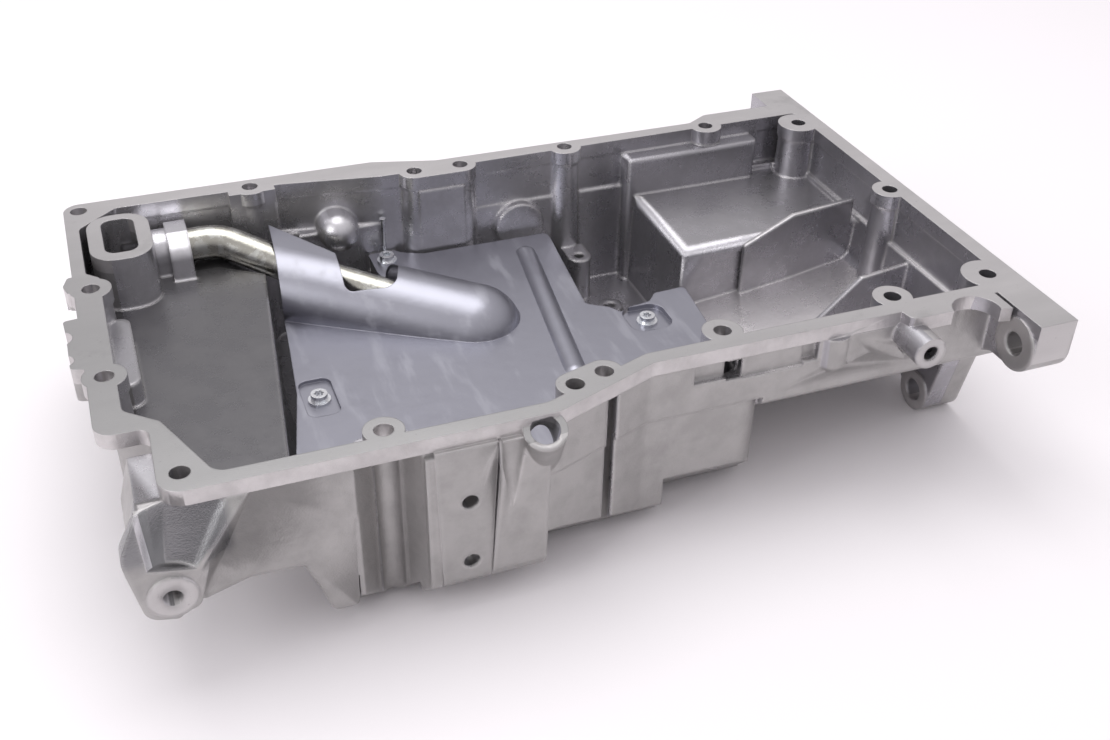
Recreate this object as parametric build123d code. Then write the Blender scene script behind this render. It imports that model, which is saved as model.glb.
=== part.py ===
"""Cast aluminium engine oil pan with its baffle plate and pickup tube.

Frame: X runs along the crankshaft, from the timing end (minus) to the bell housing (plus).
Y runs across the engine with the crankshaft's plane at Y = 0. Z is up, and Z = 0 is the plane
that the pan rests on. The machined rail that bolts to the block is the plane Z = DECK_Z.
All sizes are millimetres.
"""
import os
from math import atan2, cos, degrees, hypot, radians, sin, tan

from build123d import *

# Heights
DECK_Z = 106.0            # machined rail face
RAIL_T = 8.0              # thickness of the rail
RAIL_UNDER_Z = DECK_Z - RAIL_T
SHELF_Z = 75.0            # shallow floor at the timing end
LANDING_Z = 72.0          # shallow floor at the bell housing end, back half
LEDGE_Z = 99.5            # narrow ledge along the back wall
TROUGH_HIGH_Z = 47.0      # sloping floor at the bell housing end, front half
TROUGH_LOW_Z = 31.0       # the same floor where it drains into the sump
SUMP_BOTTOM_Z = 5.0       # underside of the sump, above the rest ribs
FLOOR_T = 6.0             # thickness of every floor
SUMP_FLOOR_Z = SUMP_BOTTOM_Z + FLOOR_T
WALL_T = 6.0              # thickness of the side walls
LIP = 1.8                 # the rail stands out past the walls by this much
DRAFT = 1.5               # draft of the deep walls in degrees
BELOW = -40.0             # a level under the whole casting, for cuts that run right through

# Rail outline
LEFT_X = -226.7
REAR_X = 241.0
BACK_Y = 127.0
BACK_STEP_Y = 117.0
BACK_EAR_Y = 125.5
FRONT_Y = -144.3
FRONT_STEP_Y = -123.5
FRONT_WALL_Y = FRONT_Y + LIP
STEP_WALL_Y = FRONT_STEP_Y + LIP
NOTCH_Y = -96.5           # the rail steps in at the timing end, in front of this line
JOG_LEFT_X = -30.0
JOG_RIGHT_X = 25.0
RAIL_W = 8.3              # width of the rail where it has no boss
REAR_WALL_T = 10.0
LEFT_RAIL_W = 13.2
LEFT_WALL_X = -219.0      # outside of the timing end's wall, under the rail

# Rail bolts
BOLT_HOLE_R = 4.5
BOLT_BOSS_R = 10.3
COLUMN_R = 9.0            # half-round columns under the bosses, at their tops
LIP_STEP = 0.7            # the small second lip between a boss and its column
WELL_R = 6.2              # bolt wells cut up from below, inside the columns
WELL_ROOF_Z = 96.0        # seat of the bolt heads
RAIL_BOLTS = {            # name: (x, y, boss radius, floor that its column stands on)
    "back_1": (-218.5, 118.5, BOLT_BOSS_R, SHELF_Z),
    "back_2": (-123.5, 118.5, BOLT_BOSS_R, SHELF_Z),
    "back_3": (-28.0, 107.5, 9.6, SUMP_FLOOR_Z),
    "back_4": (0.5, 107.5, 9.6, SUMP_FLOOR_Z),
    "back_5": (69.0, 110.5, BOLT_BOSS_R, SUMP_FLOOR_Z),
    "back_6": (166.0, 110.5, BOLT_BOSS_R, LANDING_Z),
    "rear_1": (225.5, 95.5, 13.0, LANDING_Z),
    "rear_2": (230.0, -5.0, BOLT_BOSS_R, TROUGH_HIGH_Z - 3),
    "rear_3": (225.5, -106.0, 14.0, 62.0),
    "front_1": (165.0, -109.0, BOLT_BOSS_R, 62.0),
    "front_2": (68.0, -109.0, BOLT_BOSS_R, SUMP_FLOOR_Z),
    "front_3": (0.0, -122.0, 9.2, SUMP_FLOOR_Z),
    "front_4": (-16.5, -127.0, 9.2, SUMP_FLOOR_Z),
    "front_5": (-108.0, -131.5, 9.5, SUMP_FLOOR_Z),
    "front_6": (-195.0, -131.5, BOLT_BOSS_R, SHELF_Z),
    "left_1": (-218.5, -50.0, BOLT_BOSS_R, SHELF_Z),
    "left_2": (-218.5, 31.0, BOLT_BOSS_R, SHELF_Z),
}
OPEN_WELLS = {            # name: (way out through the wall in degrees, width of the slot)
    "back_1": (180, 2 * WELL_R),
    "back_2": (90, 2 * WELL_R),
    "back_3": (90, 2 * WELL_R),
    "back_4": (90, 2 * WELL_R),
    "back_5": (90, 2 * WELL_R),
    "back_6": (90, 2 * WELL_R),
    "front_3": (-80, 6.4),
    "front_5": (-90, 2 * WELL_R),
    "left_1": (180, 2 * WELL_R),
    "left_2": (180, 2 * WELL_R),
}

# Sump, inside faces at the shelf's height
SUMP_LEFT_FRONT_X = -150.5
SUMP_LEFT_BACK_X = -122.4
SUMP_RIGHT_FRONT_X = 82.0
SUMP_RIGHT_BACK_X = 112.0
SUMP_BACK_Y = 107.0
SUMP_CORNER_R = 14.0
FRONT_BEVELS = [          # (from X, to X, Y where the sloping front meets the flat underside)
    (-170.0, -36.0, -126.0),
    (-36.0, 36.0, -113.0),
    (36.0, 130.0, -97.0),
]
TROUGH_STEP_Y = 21.5      # wall between the landing and the trough
LANDING_BACK_Y = 92.0
LEDGE_LEFT_X = 107.0
LEDGE_RIGHT_X = 198.0
LEDGE_FRONT_Y = 96.0

# Bell housing flange
FLANGE_X = 219.0
EAR_HOLE_R = 6.5
EAR_R = 14.6
EAR_HOLE_Z = 87.5
FRONT_EAR_Y = -144.6
BACK_EAR_HOLE_Y = 132.4
LOW_EAR_Y = 76.5
LOW_EAR_R = 12.3

# Port tower at the timing end, with its collar for the pickup tube
TOWER_X = -199.75
TOWER_Y = 82.2
TOWER_W = 33.0
TOWER_L = 51.6
PORT_W = 17.5
PORT_L = 38.0
TUBE_Y = 99.0             # axis of the tube where it enters the collar
TUBE_Z = DECK_Z - 21
COLLAR_LEFT_X = -175.5
COLLAR_RIGHT_X = -163.7
CONDUIT_R = 7.5

# Pickup tube
TUBE_R = 9.5
TUBE_WALL = 1.5
TUBE_ENTRY_X = -174.0     # the end of the tube inside the collar
BELL_X = -34.0
BELL_Y = 25.0
TUBE_END_Z = 26.0
TUBE_PATH = [(TUBE_ENTRY_X, TUBE_Y, TUBE_Z), (-146, TUBE_Y, TUBE_Z), (-112, 77, 73), (BELL_X, BELL_Y, 57),
             (BELL_X, BELL_Y, TUBE_END_Z)]
TUBE_BENDS = [26, 55, 17]
TUBE_CLEAR = 0.1          # between the tube and the parts that hold it, all round
SEAL_T = 2.2              # side of the seal ring's square section
SEAL_SEAT_DEPTH = 2.4
BELL_R = 32.0
BELL_LOW_Z = 14.0
SCREEN_T = 0.8
MESH_PITCH = 7.0          # of the screen's openings
MESH_HOLE = 5.0
MESH_STEPS = 3            # openings on each side of the middle one

# Baffle plate
SHEET_T = 1.5
BAFFLE_TOP_Z = 56.0
BAFFLE_Z = BAFFLE_TOP_Z - SHEET_T
TUNNEL_R = 27.0
TUNNEL_START = (-140.0, 90.4, 63.8)
TUNNEL_END = (-20.0, 16.0, 47.0)
LEFT_SCREW = (-119.0, -30.0)
RIGHT_SCREW = (72.3, -15.5)
BACK_SCREW = (-51.0, 94.0)
RECESS_DEPTH = 2.0        # sunk place around the left screw
TAB_DROP = 3.0            # step down to the right screw's tab
SCREW_R = 3.0
SCREW_HOLE_R = SCREW_R + 0.3
THREAD_CLEAR = 0.15       # between a screw and its bore, all round
SCREW_LENGTH = 16.0
SCREW_FLANGE_R = 6.0
SCREW_HEAD_R = 4.4
PIN_R = 1.2
PIN_AT = (-50.0, 103.5)
PIN_TOP_Z = 80.0
PIN_LOW_Z = 48.0
FLAP_LENGTH = 58.0        # flat back of the tunnel at its open end
FLAP_WIDTH = 26.0
BEAD_R = 7.5
BEAD_RISE = 3.0

# Drain
DRAIN_X = -80.0
DRAIN_Z = 24.0
DRAIN_BOSS_R = 15.0
DRAIN_FACE_Y = 117.0
PLUG_R = 7.0
PLUG_CLEAR = 0.2
PLUG_TIP_Y = 104.0
PLUG_HEAD_T = 8.0
PLUG_HEX_R = 9.8
WASHER_R = 11.0
WASHER_T = 1.5


def outline(corners):
    """Closed face through corners given as (x, y, corner radius)."""
    points = [(x, y) for x, y, _ in corners]
    return make_face(FilletPolyline(*points, radius=[r for _, _, r in corners], close=True))


def prism(face, low_z, high_z):
    """Straight solid on a face of the XY plane, between two heights."""
    return extrude(Pos(0, 0, low_z) * face, amount=high_z - low_z)


def side_prism(corners, y_from, y_to):
    """Solid with its outline given in X and Z, between two places along Y."""
    face = Plane.XZ * outline(corners)
    return Pos(0, y_to, 0) * extrude(face, amount=y_to - y_from)


def end_prism(corners, x_from, x_to):
    """Solid with its outline given in Y and Z, between two places along X."""
    face = Plane.YZ * outline(corners)
    return Pos(x_from, 0, 0) * extrude(face, amount=x_to - x_from)


def upright(radius, x, y, low_z, high_z):
    """Upright cylinder between two heights."""
    return Pos(x, y, (low_z + high_z) / 2) * Cylinder(radius, high_z - low_z)


def along_x(radius, y, z, x_from, x_to):
    """Cylinder along X between two places."""
    return Pos((x_from + x_to) / 2, y, z) * Rot(0, 90, 0) * Cylinder(radius, x_to - x_from)


def along_y(radius, x, z, y_from, y_to):
    """Cylinder along Y between two places."""
    return Pos(x, (y_from + y_to) / 2, z) * Rot(90, 0, 0) * Cylinder(radius, y_to - y_from)


def block(x_from, x_to, y_from, y_to, z_from, z_to):
    """Box between two corners."""
    size = Box(x_to - x_from, y_to - y_from, z_to - z_from)
    return Pos((x_from + x_to) / 2, (y_from + y_to) / 2, (z_from + z_to) / 2) * size


def rounded_slab(x, y, width, length, radius, low_z, high_z):
    """Upright solid with a rounded rectangle as its plan."""
    return prism(Pos(x, y) * RectangleRounded(width, length, radius), low_z, high_z)


def rail_ring_corners(inset=0.0):
    """Outer line of the rail without its ears, moved inwards by inset."""
    i = inset
    return [
        (-205.2 + i, FRONT_Y + i, 11 - i),
        (JOG_LEFT_X, FRONT_Y + i, 6),
        (JOG_RIGHT_X, FRONT_STEP_Y + i, 8),
        (REAR_X, FRONT_STEP_Y + i, 0),
        (REAR_X, BACK_EAR_Y - i, 0),
        (172 + i, BACK_EAR_Y - i, 6),
        (158, BACK_STEP_Y - i, 6),
        (-12, BACK_STEP_Y - i, 10),
        (-50, BACK_Y - i, 12),
        (LEFT_X + i, BACK_Y - i, 9),
        (LEFT_X + i, NOTCH_Y + i, 9),
        (-204 + i, NOTCH_Y + i, 5),
    ]


def skirt_corners():
    """Outer line of the walls under the rail; the timing end's wall stands further in."""
    corners = rail_ring_corners(LIP)[:-2]
    return corners + [
        (LEFT_X + LIP, 48, 4),
        (LEFT_WALL_X, 40, 4),
        (LEFT_WALL_X, -82, 5),
        (-205, NOTCH_Y + LIP, 5),
        (-203.4, -110, 5),
    ]


def cavity_corners(inset=0.0):
    """Inner line of the rail without its bosses, moved into the opening by inset."""
    i = inset
    return [
        (-181 + i, FRONT_Y + RAIL_W + i, 8),
        (JOG_LEFT_X - 3, FRONT_Y + RAIL_W + i, 8),
        (JOG_RIGHT_X - 1, FRONT_STEP_Y + RAIL_W + i, 8),
        (REAR_X - REAR_WALL_T - i, FRONT_STEP_Y + 10.5 + i, 4),
        (REAR_X - REAR_WALL_T - i, BACK_STEP_Y - RAIL_W + 1 - i, 4),
        (-18, BACK_STEP_Y - RAIL_W - 2 - i, 8),
        (-48, BACK_STEP_Y - RAIL_W - 2 - i, 8),
        (-106, BACK_Y - RAIL_W - 3.2 - i, 10),
        (-199 + i, BACK_Y - RAIL_W - 2.7 - i, 5),
        (LEFT_X + 6.9 + i, 97, 6),
        (LEFT_X + 6.9 + i, 47, 3),
        (LEFT_X + LEFT_RAIL_W + i, 41, 3),
        (LEFT_X + LEFT_RAIL_W + i, -80, 6),
        (-198.5 + i, -93, 6),
    ]


def sump_corners(grow=0.0):
    """Plan of the deep sump, grown outwards by the wall's thickness for its outside."""
    g = grow
    lean = (SUMP_LEFT_BACK_X - SUMP_LEFT_FRONT_X) / (SUMP_BACK_Y - FRONT_Y - RAIL_W)
    return [
        (SUMP_LEFT_FRONT_X - g, FRONT_Y + RAIL_W + 0.2 - g, 5 + g),
        (JOG_LEFT_X - 3, FRONT_Y + RAIL_W + 0.2 - g, 8),
        (JOG_RIGHT_X - 1, FRONT_STEP_Y + RAIL_W + 0.2 - g, 8),
        (SUMP_RIGHT_FRONT_X + g, FRONT_STEP_Y + RAIL_W + 0.2 - g, 8 + g),
        (SUMP_RIGHT_BACK_X + g, TROUGH_STEP_Y, 20),
        (SUMP_RIGHT_BACK_X + g, SUMP_BACK_Y + g, 8 + g),
        (SUMP_LEFT_BACK_X - g + lean * g, SUMP_BACK_Y + g, SUMP_CORNER_R + g),
    ]


def roll_cut(shift, floor_z):
    """Everything outside the rolled lower corner of the sump at the timing end."""
    return side_prism([(-240, BELOW, 0), (-117.5 + shift, BELOW, 0), (-133.5 + shift, floor_z, 12),
                       (-151.5 + shift, 50, 20), (-169.5 + shift, 64, 0), (-240, 64, 0)],
                      FRONT_Y - 20, BACK_Y + 20)


def front_bevel(inset):
    """Everything outside the sloping lower front of the sump, in three lengths."""
    cut = None
    for x_from, x_to, y_foot in FRONT_BEVELS:
        foot = y_foot + inset
        piece = end_prism([(-200, BELOW, 0), (foot, BELOW, 0), (foot, SUMP_BOTTOM_Z, 8),
                           (foot - 28, SUMP_BOTTOM_Z + 29, 8), (-200, SUMP_BOTTOM_Z + 29, 0)], x_from, x_to)
        cut = piece if cut is None else cut + piece
    return cut


def outer_body():
    """Rail, skirt walls, sump and trough from outside, solid."""
    ring = outline(rail_ring_corners())
    bolt_lug = outline([(160, -118, 0), (163, -131.5, 4), (186, -131.5, 5), (217, -139, 0), (217, -118, 0)])
    rail = prism(ring + bolt_lug, RAIL_UNDER_Z, DECK_Z)
    skirt = prism(outline(skirt_corners()), SHELF_Z - FLOOR_T, RAIL_UNDER_Z)
    sump = prism(outline(sump_corners(WALL_T)), SUMP_BOTTOM_Z, RAIL_UNDER_Z)
    sump -= roll_cut(0, SUMP_BOTTOM_Z + 1)
    sump -= front_bevel(0)
    return rail + skirt + sump + trough_body()


def trough_body():
    """Outside of the sloping floor at the bell housing end, solid."""
    along = side_prism([(88, RAIL_UNDER_Z, 0), (88, TROUGH_LOW_Z - FLOOR_T, 0),
                        (REAR_X - 6, TROUGH_HIGH_Z - FLOOR_T, 8), (REAR_X - 6, RAIL_UNDER_Z, 0)],
                       STEP_WALL_Y, TROUGH_STEP_Y + WALL_T)
    across = end_prism([(STEP_WALL_Y, RAIL_UNDER_Z, 0), (STEP_WALL_Y, 65, 4), (-62, 22, 12),
                        (TROUGH_STEP_Y + WALL_T, 20, 8), (TROUGH_STEP_Y + WALL_T, RAIL_UNDER_Z, 0)],
                       76, REAR_X)
    return along & across


def cavity():
    """Everything that is hollow inside the pan."""
    step_z = DECK_Z - 9
    top = prism(outline(cavity_corners()), step_z - 0.5, DECK_Z + 1)
    shallow = extrude(Pos(0, 0, step_z) * outline(cavity_corners(-0.8)), amount=-(step_z - SHELF_Z), taper=DRAFT)
    sump_top_z = SHELF_Z + 2
    sump = extrude(Pos(0, 0, sump_top_z) * outline(sump_corners()), amount=-(sump_top_z - SUMP_FLOOR_Z),
                   taper=DRAFT)
    sump -= roll_cut(WALL_T, SUMP_FLOOR_Z)
    sump -= front_bevel(10)
    trough = side_prism([(84, DECK_Z, 0), (84, TROUGH_LOW_Z - 2, 0), (REAR_X - 14, TROUGH_HIGH_Z, 8),
                         (REAR_X - 10.5, DECK_Z, 0)], FRONT_STEP_Y + RAIL_W, TROUGH_STEP_Y)
    rise = end_prism([(FRONT_STEP_Y + 9, DECK_Z, 0), (FRONT_STEP_Y + 9, 71, 6), (-55, 28, 12),
                      (TROUGH_STEP_Y, 24, 6), (TROUGH_STEP_Y, DECK_Z, 0)], 80, REAR_X)
    landing = prism(outline([(100, TROUGH_STEP_Y - 4, 0), (REAR_X - 12, TROUGH_STEP_Y - 4, 0),
                             (REAR_X - 12, LANDING_BACK_Y + 12, 8), (100, LANDING_BACK_Y + 12, 6)]),
                    LANDING_Z, SHELF_Z + 1)
    ledge = prism(outline([(LEDGE_LEFT_X, LEDGE_FRONT_Y, 3), (LEDGE_RIGHT_X, LEDGE_FRONT_Y, 6),
                           (LEDGE_RIGHT_X, BACK_Y, 0), (LEDGE_LEFT_X, BACK_Y, 0)]), BELOW, LEDGE_Z)
    return top + (shallow + sump + landing - ledge) + (trough & rise)


def column(name):
    """Boss under a rail bolt, its second lip and the drafted column that carries it."""
    x, y, boss_r, floor_z = RAIL_BOLTS[name]
    lip_z = RAIL_UNDER_Z - 2 * LIP_STEP
    stem_r = boss_r - BOLT_BOSS_R + COLUMN_R
    height = lip_z - floor_z + 1
    foot_r = stem_r + height * tan(radians(DRAFT))
    stem = Pos(x, y, lip_z - height / 2) * Cone(foot_r, stem_r, height)
    lip = upright(boss_r - LIP_STEP, x, y, lip_z, RAIL_UNDER_Z)
    return upright(boss_r, x, y, RAIL_UNDER_Z, DECK_Z) + lip + stem


def double_column(first, second):
    """Material between two columns that stand close together."""
    x1, y1, boss_r, floor_z = RAIL_BOLTS[first]
    x2, y2, _, _ = RAIL_BOLTS[second]
    length = hypot(x2 - x1, y2 - y1)
    turn = degrees(atan2(y2 - y1, x2 - x1))
    place = Pos((x1 + x2) / 2, (y1 + y2) / 2, 0) * Rot(0, 0, turn)
    upper = place * block(-length / 2, length / 2, -boss_r, boss_r, RAIL_UNDER_Z, DECK_Z)
    lip = place * block(-length / 2, length / 2, LIP_STEP - boss_r, boss_r - LIP_STEP,
                        RAIL_UNDER_Z - 2 * LIP_STEP, RAIL_UNDER_Z)
    lower = place * block(-length / 2, length / 2, -boss_r, boss_r, floor_z - 1, RAIL_UNDER_Z - 2 * LIP_STEP)
    return upper + lip + lower


def columns():
    """All columns, kept within the outline of the walls except at the timing end."""
    free = [column(name) for name in ("left_1", "left_2")]
    inner = [column(name) for name in RAIL_BOLTS if name not in ("left_1", "left_2")]
    inner.append(double_column("back_3", "back_4"))
    inner.append(double_column("front_4", "front_3"))
    backing = outline([(-133, -141, 0), (-119.5, -124, 6), (-96.5, -124, 6), (-86, -141, 0)])
    inner.append(prism(backing, SUMP_FLOOR_Z - 1, RAIL_UNDER_Z))
    x, y, boss_r, floor_z = RAIL_BOLTS["back_2"]
    inner.append(block(x - boss_r - 3, x + boss_r + 3, y - 8, y + 8, floor_z - 1, DECK_Z))
    envelope = outer_body()
    kept = inner[0]
    for piece in inner[1:]:
        kept += piece
    kept = kept & envelope
    for piece in free:
        kept += piece
    return kept


def bolt_cuts():
    """Rail bolt holes, the wells under them and the slots that open the wells."""
    cuts = []
    for name, (x, y, _, _) in RAIL_BOLTS.items():
        cuts.append(upright(BOLT_HOLE_R, x, y, WELL_ROOF_Z - 1, DECK_Z + 1))
        cuts.append(upright(WELL_R, x, y, BELOW, WELL_ROOF_Z))
        if name in OPEN_WELLS:
            angle, width = OPEN_WELLS[name]
            slot = block(0, 40, -width / 2, width / 2, BELOW, WELL_ROOF_Z)
            cuts.append(Pos(x, y, 0) * Rot(0, 0, angle) * slot)
    return cuts


def flange():
    """Bell housing flange with its two upper ears and two lower ears."""
    profile = [(FRONT_EAR_Y - EAR_R, DECK_Z, 0), (FRONT_EAR_Y - EAR_R, EAR_HOLE_Z - EAR_R, EAR_R - 0.5),
               (-128, EAR_HOLE_Z - EAR_R, 8), (-98, 54, 8), (-89, 12, 0), (-LOW_EAR_Y - 6, 6, 0),
               (-LOW_EAR_Y + 6, 6, 0), (-63, 12, 0), (-56, 20, 6), (56, 20, 6), (63, 12, 0),
               (LOW_EAR_Y - 6, 6, 0), (LOW_EAR_Y + 6, 6, 0), (89, 12, 0), (98, 54, 8),
               (116, EAR_HOLE_Z - EAR_R, 8), (BACK_EAR_HOLE_Y + EAR_R, EAR_HOLE_Z - EAR_R, EAR_R - 0.5),
               (BACK_EAR_HOLE_Y + EAR_R, DECK_Z, 0)]
    body = end_prism(profile, FLANGE_X, REAR_X)
    for y in (-LOW_EAR_Y, LOW_EAR_Y):
        body += along_x(LOW_EAR_R, y, LOW_EAR_R, FLANGE_X - 1, REAR_X)
    body += along_x(EAR_R, FRONT_EAR_Y, EAR_HOLE_Z, FLANGE_X - 1, REAR_X)
    inner_z = SUMP_FLOOR_Z
    opening = end_prism([(-110, 110, 0), (-110, 74, 10), (-84, inner_z + 26, 12), (84, inner_z + 26, 12),
                         (100, 74, 10), (100, 110, 0)], FLANGE_X - 30, REAR_X - REAR_WALL_T)
    return body, opening


def flange_holes():
    """Holes through the four ears."""
    cuts = []
    for y, z in ((FRONT_EAR_Y, EAR_HOLE_Z), (BACK_EAR_HOLE_Y, EAR_HOLE_Z),
                 (-LOW_EAR_Y, LOW_EAR_R), (LOW_EAR_Y, LOW_EAR_R)):
        cuts.append(along_x(EAR_HOLE_R, y, z, FLANGE_X - 5, REAR_X + 1))
    return cuts


def tower():
    """Port tower, the neck towards the tube and the collar at its end."""
    body = rounded_slab(TOWER_X, TOWER_Y, TOWER_W, TOWER_L, 14, SHELF_Z - 1, DECK_Z)
    neck = along_x(12.5, TUBE_Y - 2, TUBE_Z, TOWER_X, COLLAR_LEFT_X)
    neck += block(TOWER_X, COLLAR_LEFT_X, TUBE_Y - 14, TUBE_Y + 10, SHELF_Z - 1, TUBE_Z)
    collar = end_prism([(77, SHELF_Z - 1, 0), (80, 91, 9), (92, 98, 2), (106, 98, 2), (113, 92, 6),
                        (113, SHELF_Z - 1, 0)], COLLAR_LEFT_X, COLLAR_RIGHT_X)
    return body + neck + collar


def tower_cuts():
    """Port opening, the conduit and the socket for the tube."""
    port = rounded_slab(TOWER_X, TOWER_Y + 1, PORT_W, PORT_L, 6, SHELF_Z - 1, DECK_Z + 1)
    conduit = along_x(CONDUIT_R, TUBE_Y - 2, TUBE_Z, TOWER_X, TUBE_ENTRY_X)
    socket = along_x(TUBE_R + TUBE_CLEAR, TUBE_Y, TUBE_Z, TUBE_ENTRY_X, COLLAR_RIGHT_X + 1)
    seat = along_x(TUBE_R + SEAL_T + TUBE_CLEAR, TUBE_Y, TUBE_Z, COLLAR_RIGHT_X - SEAL_SEAT_DEPTH,
                   COLLAR_RIGHT_X + 1)
    return [port, conduit, socket, seat]


def tube_channel():
    """Sunk run in the shelf under the tube, and the thicker floor that it is sunk in."""
    plan = outline([(-163.7, 86, 0), (-150, 86, 8), (-124, 68, 0), (-100, 66, 0), (-100, 112, 0),
                    (-163.7, 112, 4)])
    run = side_prism([(-164, 90, 0), (-164, 74, 0), (-146, 74, 10), (-112, 59, 0), (-90, 59, 0), (-90, 90, 0)],
                     60, 113)
    under = side_prism([(-172, 71, 0), (-172, 69, 0), (-148, 68, 10), (-118, 53, 0), (-110, 53, 0),
                        (-110, 71, 0)], 64, BACK_STEP_Y - 1)
    return under, prism(plan, 50, 90) & run


def bracket():
    """Mounting bracket at the front corner of the timing end, scooped out in front."""
    arm = side_prism([(-176, RAIL_UNDER_Z, 0), (-190, 70, 20), (-196.5, 47, 6), (-207, 44, 8), (-218, 47, 8),
                      (-221.5, 76, 12), (-215, RAIL_UNDER_Z, 0)], -150, -104)
    scoop = Pos(-203, -172, 88) * Sphere(33)
    arm -= scoop
    arm -= block(-176 - 60, -150, -170, FRONT_WALL_Y, 72, DECK_Z)
    boss = along_y(11, -207.4, 56.5, -152, -120)
    hole = along_y(4.15, -207.4, 56.5, -160, -128)
    web = side_prism([(-200, 46, 0), (-194.5, 43, 3), (-174, 49.4, 6), (-146, 48.4, 0), (-146, 80, 0),
                      (-200, 80, 0)], FRONT_WALL_Y, FRONT_WALL_Y + WALL_T)
    return arm + boss + web, hole


def front_blocks():
    """Foot, ridge, pad and column block that stand on the front of the sump."""
    foot = side_prism([(-149, 90, 0), (-149.5, 50, 10), (-137, 7, 4), (-127.5, 7, 3), (-125.8, 90, 0)],
                      FRONT_WALL_Y, -118)
    ridge = side_prism([(-96.5, 95, 0), (-96.5, 9, 4), (-88, 9, 4), (-88, 95, 0)], -145, -118)
    pad = side_prism([(-89.5, 98, 0), (-87.6, 15, 5), (-64.4, 15, 5), (-60, 98, 0)], -146.2, -118)
    trunk = side_prism([(-58.5, 98, 0), (-64.2, 12, 5), (-37, 12, 8), (-35, 98, 0)], -147, -118)
    body = foot + ridge + pad + trunk
    slope = end_prism([(-200, BELOW, 0), (-118, BELOW, 0), (-131, SUMP_BOTTOM_Z, 6), (-145, 17, 10),
                       (-150, 30, 0), (-200, 30, 0)], -160, -30)
    return body - slope


def front_cuts():
    """Bay under the front bolt, tapped holes of the pad."""
    bay = prism(outline([(-126.5, -160, 0), (-125.5, -143, 0), (-114.5, -130, 4), (-101.5, -130, 4),
                         (-93.5, -143, 0), (-92.5, -160, 0)]), BELOW, RAIL_UNDER_Z)
    upper = along_y(4.0, -73.8, 66.5, -150, -137)
    lower = along_y(4.0, -73.8, 30.5, -150, -134)
    return [bay, upper, lower]


def dipstick_boss():
    """Slanting boss for the dipstick tube, and its bore into the sump."""
    place = Plane(origin=(-38.7, -148, 100.2), x_dir=(1, 0, 0), z_dir=(-0.09, -0.5, 0.86))
    boss = place * (Pos(0, 0, -27) * Cylinder(10.2, 54))
    bore = place * (Pos(0, 0, -39) * Cylinder(6.9, 80))
    return boss, bore


def right_front():
    """Block under the front jog, the end of the trough and the tapped boss beside the lug."""
    boss = along_y(8.7, 166.8, 93, -145, -118)
    web = block(162, 172, -131, -118, 84.5, RAIL_UNDER_Z)
    half_round = upright(8.5, 126.5, -118, 81, RAIL_UNDER_Z)
    return boss + half_round + web


def right_front_cuts():
    """Shallow pockets under the rail of the front wall, and the tapped hole."""
    face = STEP_WALL_Y - 1
    cuts = [
        block(48, 65.5, face, STEP_WALL_Y + 3.0, 86, RAIL_UNDER_Z),
        block(65.5, 75, face, RAIL_BOLTS["front_2"][1], 84.5, WELL_ROOF_Z),
        block(75, 109, face, STEP_WALL_Y + 2.0, 84, RAIL_UNDER_Z),
        block(109, 117, face, STEP_WALL_Y + 4.5, 86, RAIL_UNDER_Z),
        along_y(4.15, 166.8, 93, -150, -122),
    ]
    scallop = upright(12.5, 199, -134, BELOW, DECK_Z + 1)
    return cuts + [scallop]


def left_lugs():
    """Small lugs on the rail of the timing end."""
    small = outline([(-220, 45, 0), (-229, 45.5, 2), (-231.6, 37, 3), (-229.8, 29.5, 2), (-220, 27, 0)])
    large = outline([(-220, 5, 0), (-233.6, 3.5, 2), (-232.8, -11.6, 4), (-232.8, -40, 3), (-220, -43, 0)])
    lugs = prism(small, RAIL_UNDER_Z - 6, DECK_Z) + prism(large, RAIL_UNDER_Z - 10, DECK_Z)
    lugs -= upright(6, -236, -12, BELOW, DECK_Z + 1)
    lugs -= upright(4.5, -235, -32, BELOW, DECK_Z + 1)
    return lugs


def gusset(points, thickness):
    """Thin upright rib through points (x, y, top z) standing on the floor under it."""
    pieces = None
    for (x1, y1, z1), (x2, y2, z2) in zip(points[:-1], points[1:]):
        length = hypot(x2 - x1, y2 - y1)
        turn = degrees(atan2(y2 - y1, x2 - x1))
        web = side_prism([(0, 30, 0), (length, 30, 0), (length, z2, 0), (0, z1, 0)],
                         -thickness / 2, thickness / 2)
        web = Pos(x1, y1, 0) * Rot(0, 0, turn) * web
        pieces = web if pieces is None else pieces + web
    return pieces


def inside_details():
    """Ribs, posts and bosses on the floors and on the back wall."""
    rib_landing = gusset([(150, 18.5, LANDING_Z - 2), (182, 19.5, 85), (225, 23, 87)], 3.0)
    rib_trough = gusset([(160, -40, 40), (197, -37, 70), (234, -35, 73)], 3.0)
    left_post = upright(7, *LEFT_SCREW, SUMP_FLOOR_Z - 1, BAFFLE_Z - RECESS_DEPTH)
    right_post = upright(7, *RIGHT_SCREW, SUMP_FLOOR_Z - 1, BAFFLE_Z - TAB_DROP)
    back_lug = upright(8, *BACK_SCREW, 38, BAFFLE_Z)
    back_lug += block(BACK_SCREW[0] - 8, BACK_SCREW[0] + 8, BACK_SCREW[1], 106, 38, BAFFLE_Z)
    d_post = upright(7.5, 71.9, 88, SUMP_FLOOR_Z - 1, 40) + block(64.4, 79.4, 88, 102, SUMP_FLOOR_Z - 1, 40)
    floor_boss = upright(8, 84, 63, SUMP_FLOOR_Z - 1, 15)
    domes = along_y(12, -77, 76, 103, 118) + along_y(15.5, 37, 60, 101, 110)
    domes += Pos(-77, 103, 76) * Sphere(12)
    step = rounded_slab(-211, -4, 16, 62, 6, SHELF_Z - 1, 88)
    return [rib_landing, rib_trough, left_post, right_post, back_lug, d_post, floor_boss, domes, step]


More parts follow.
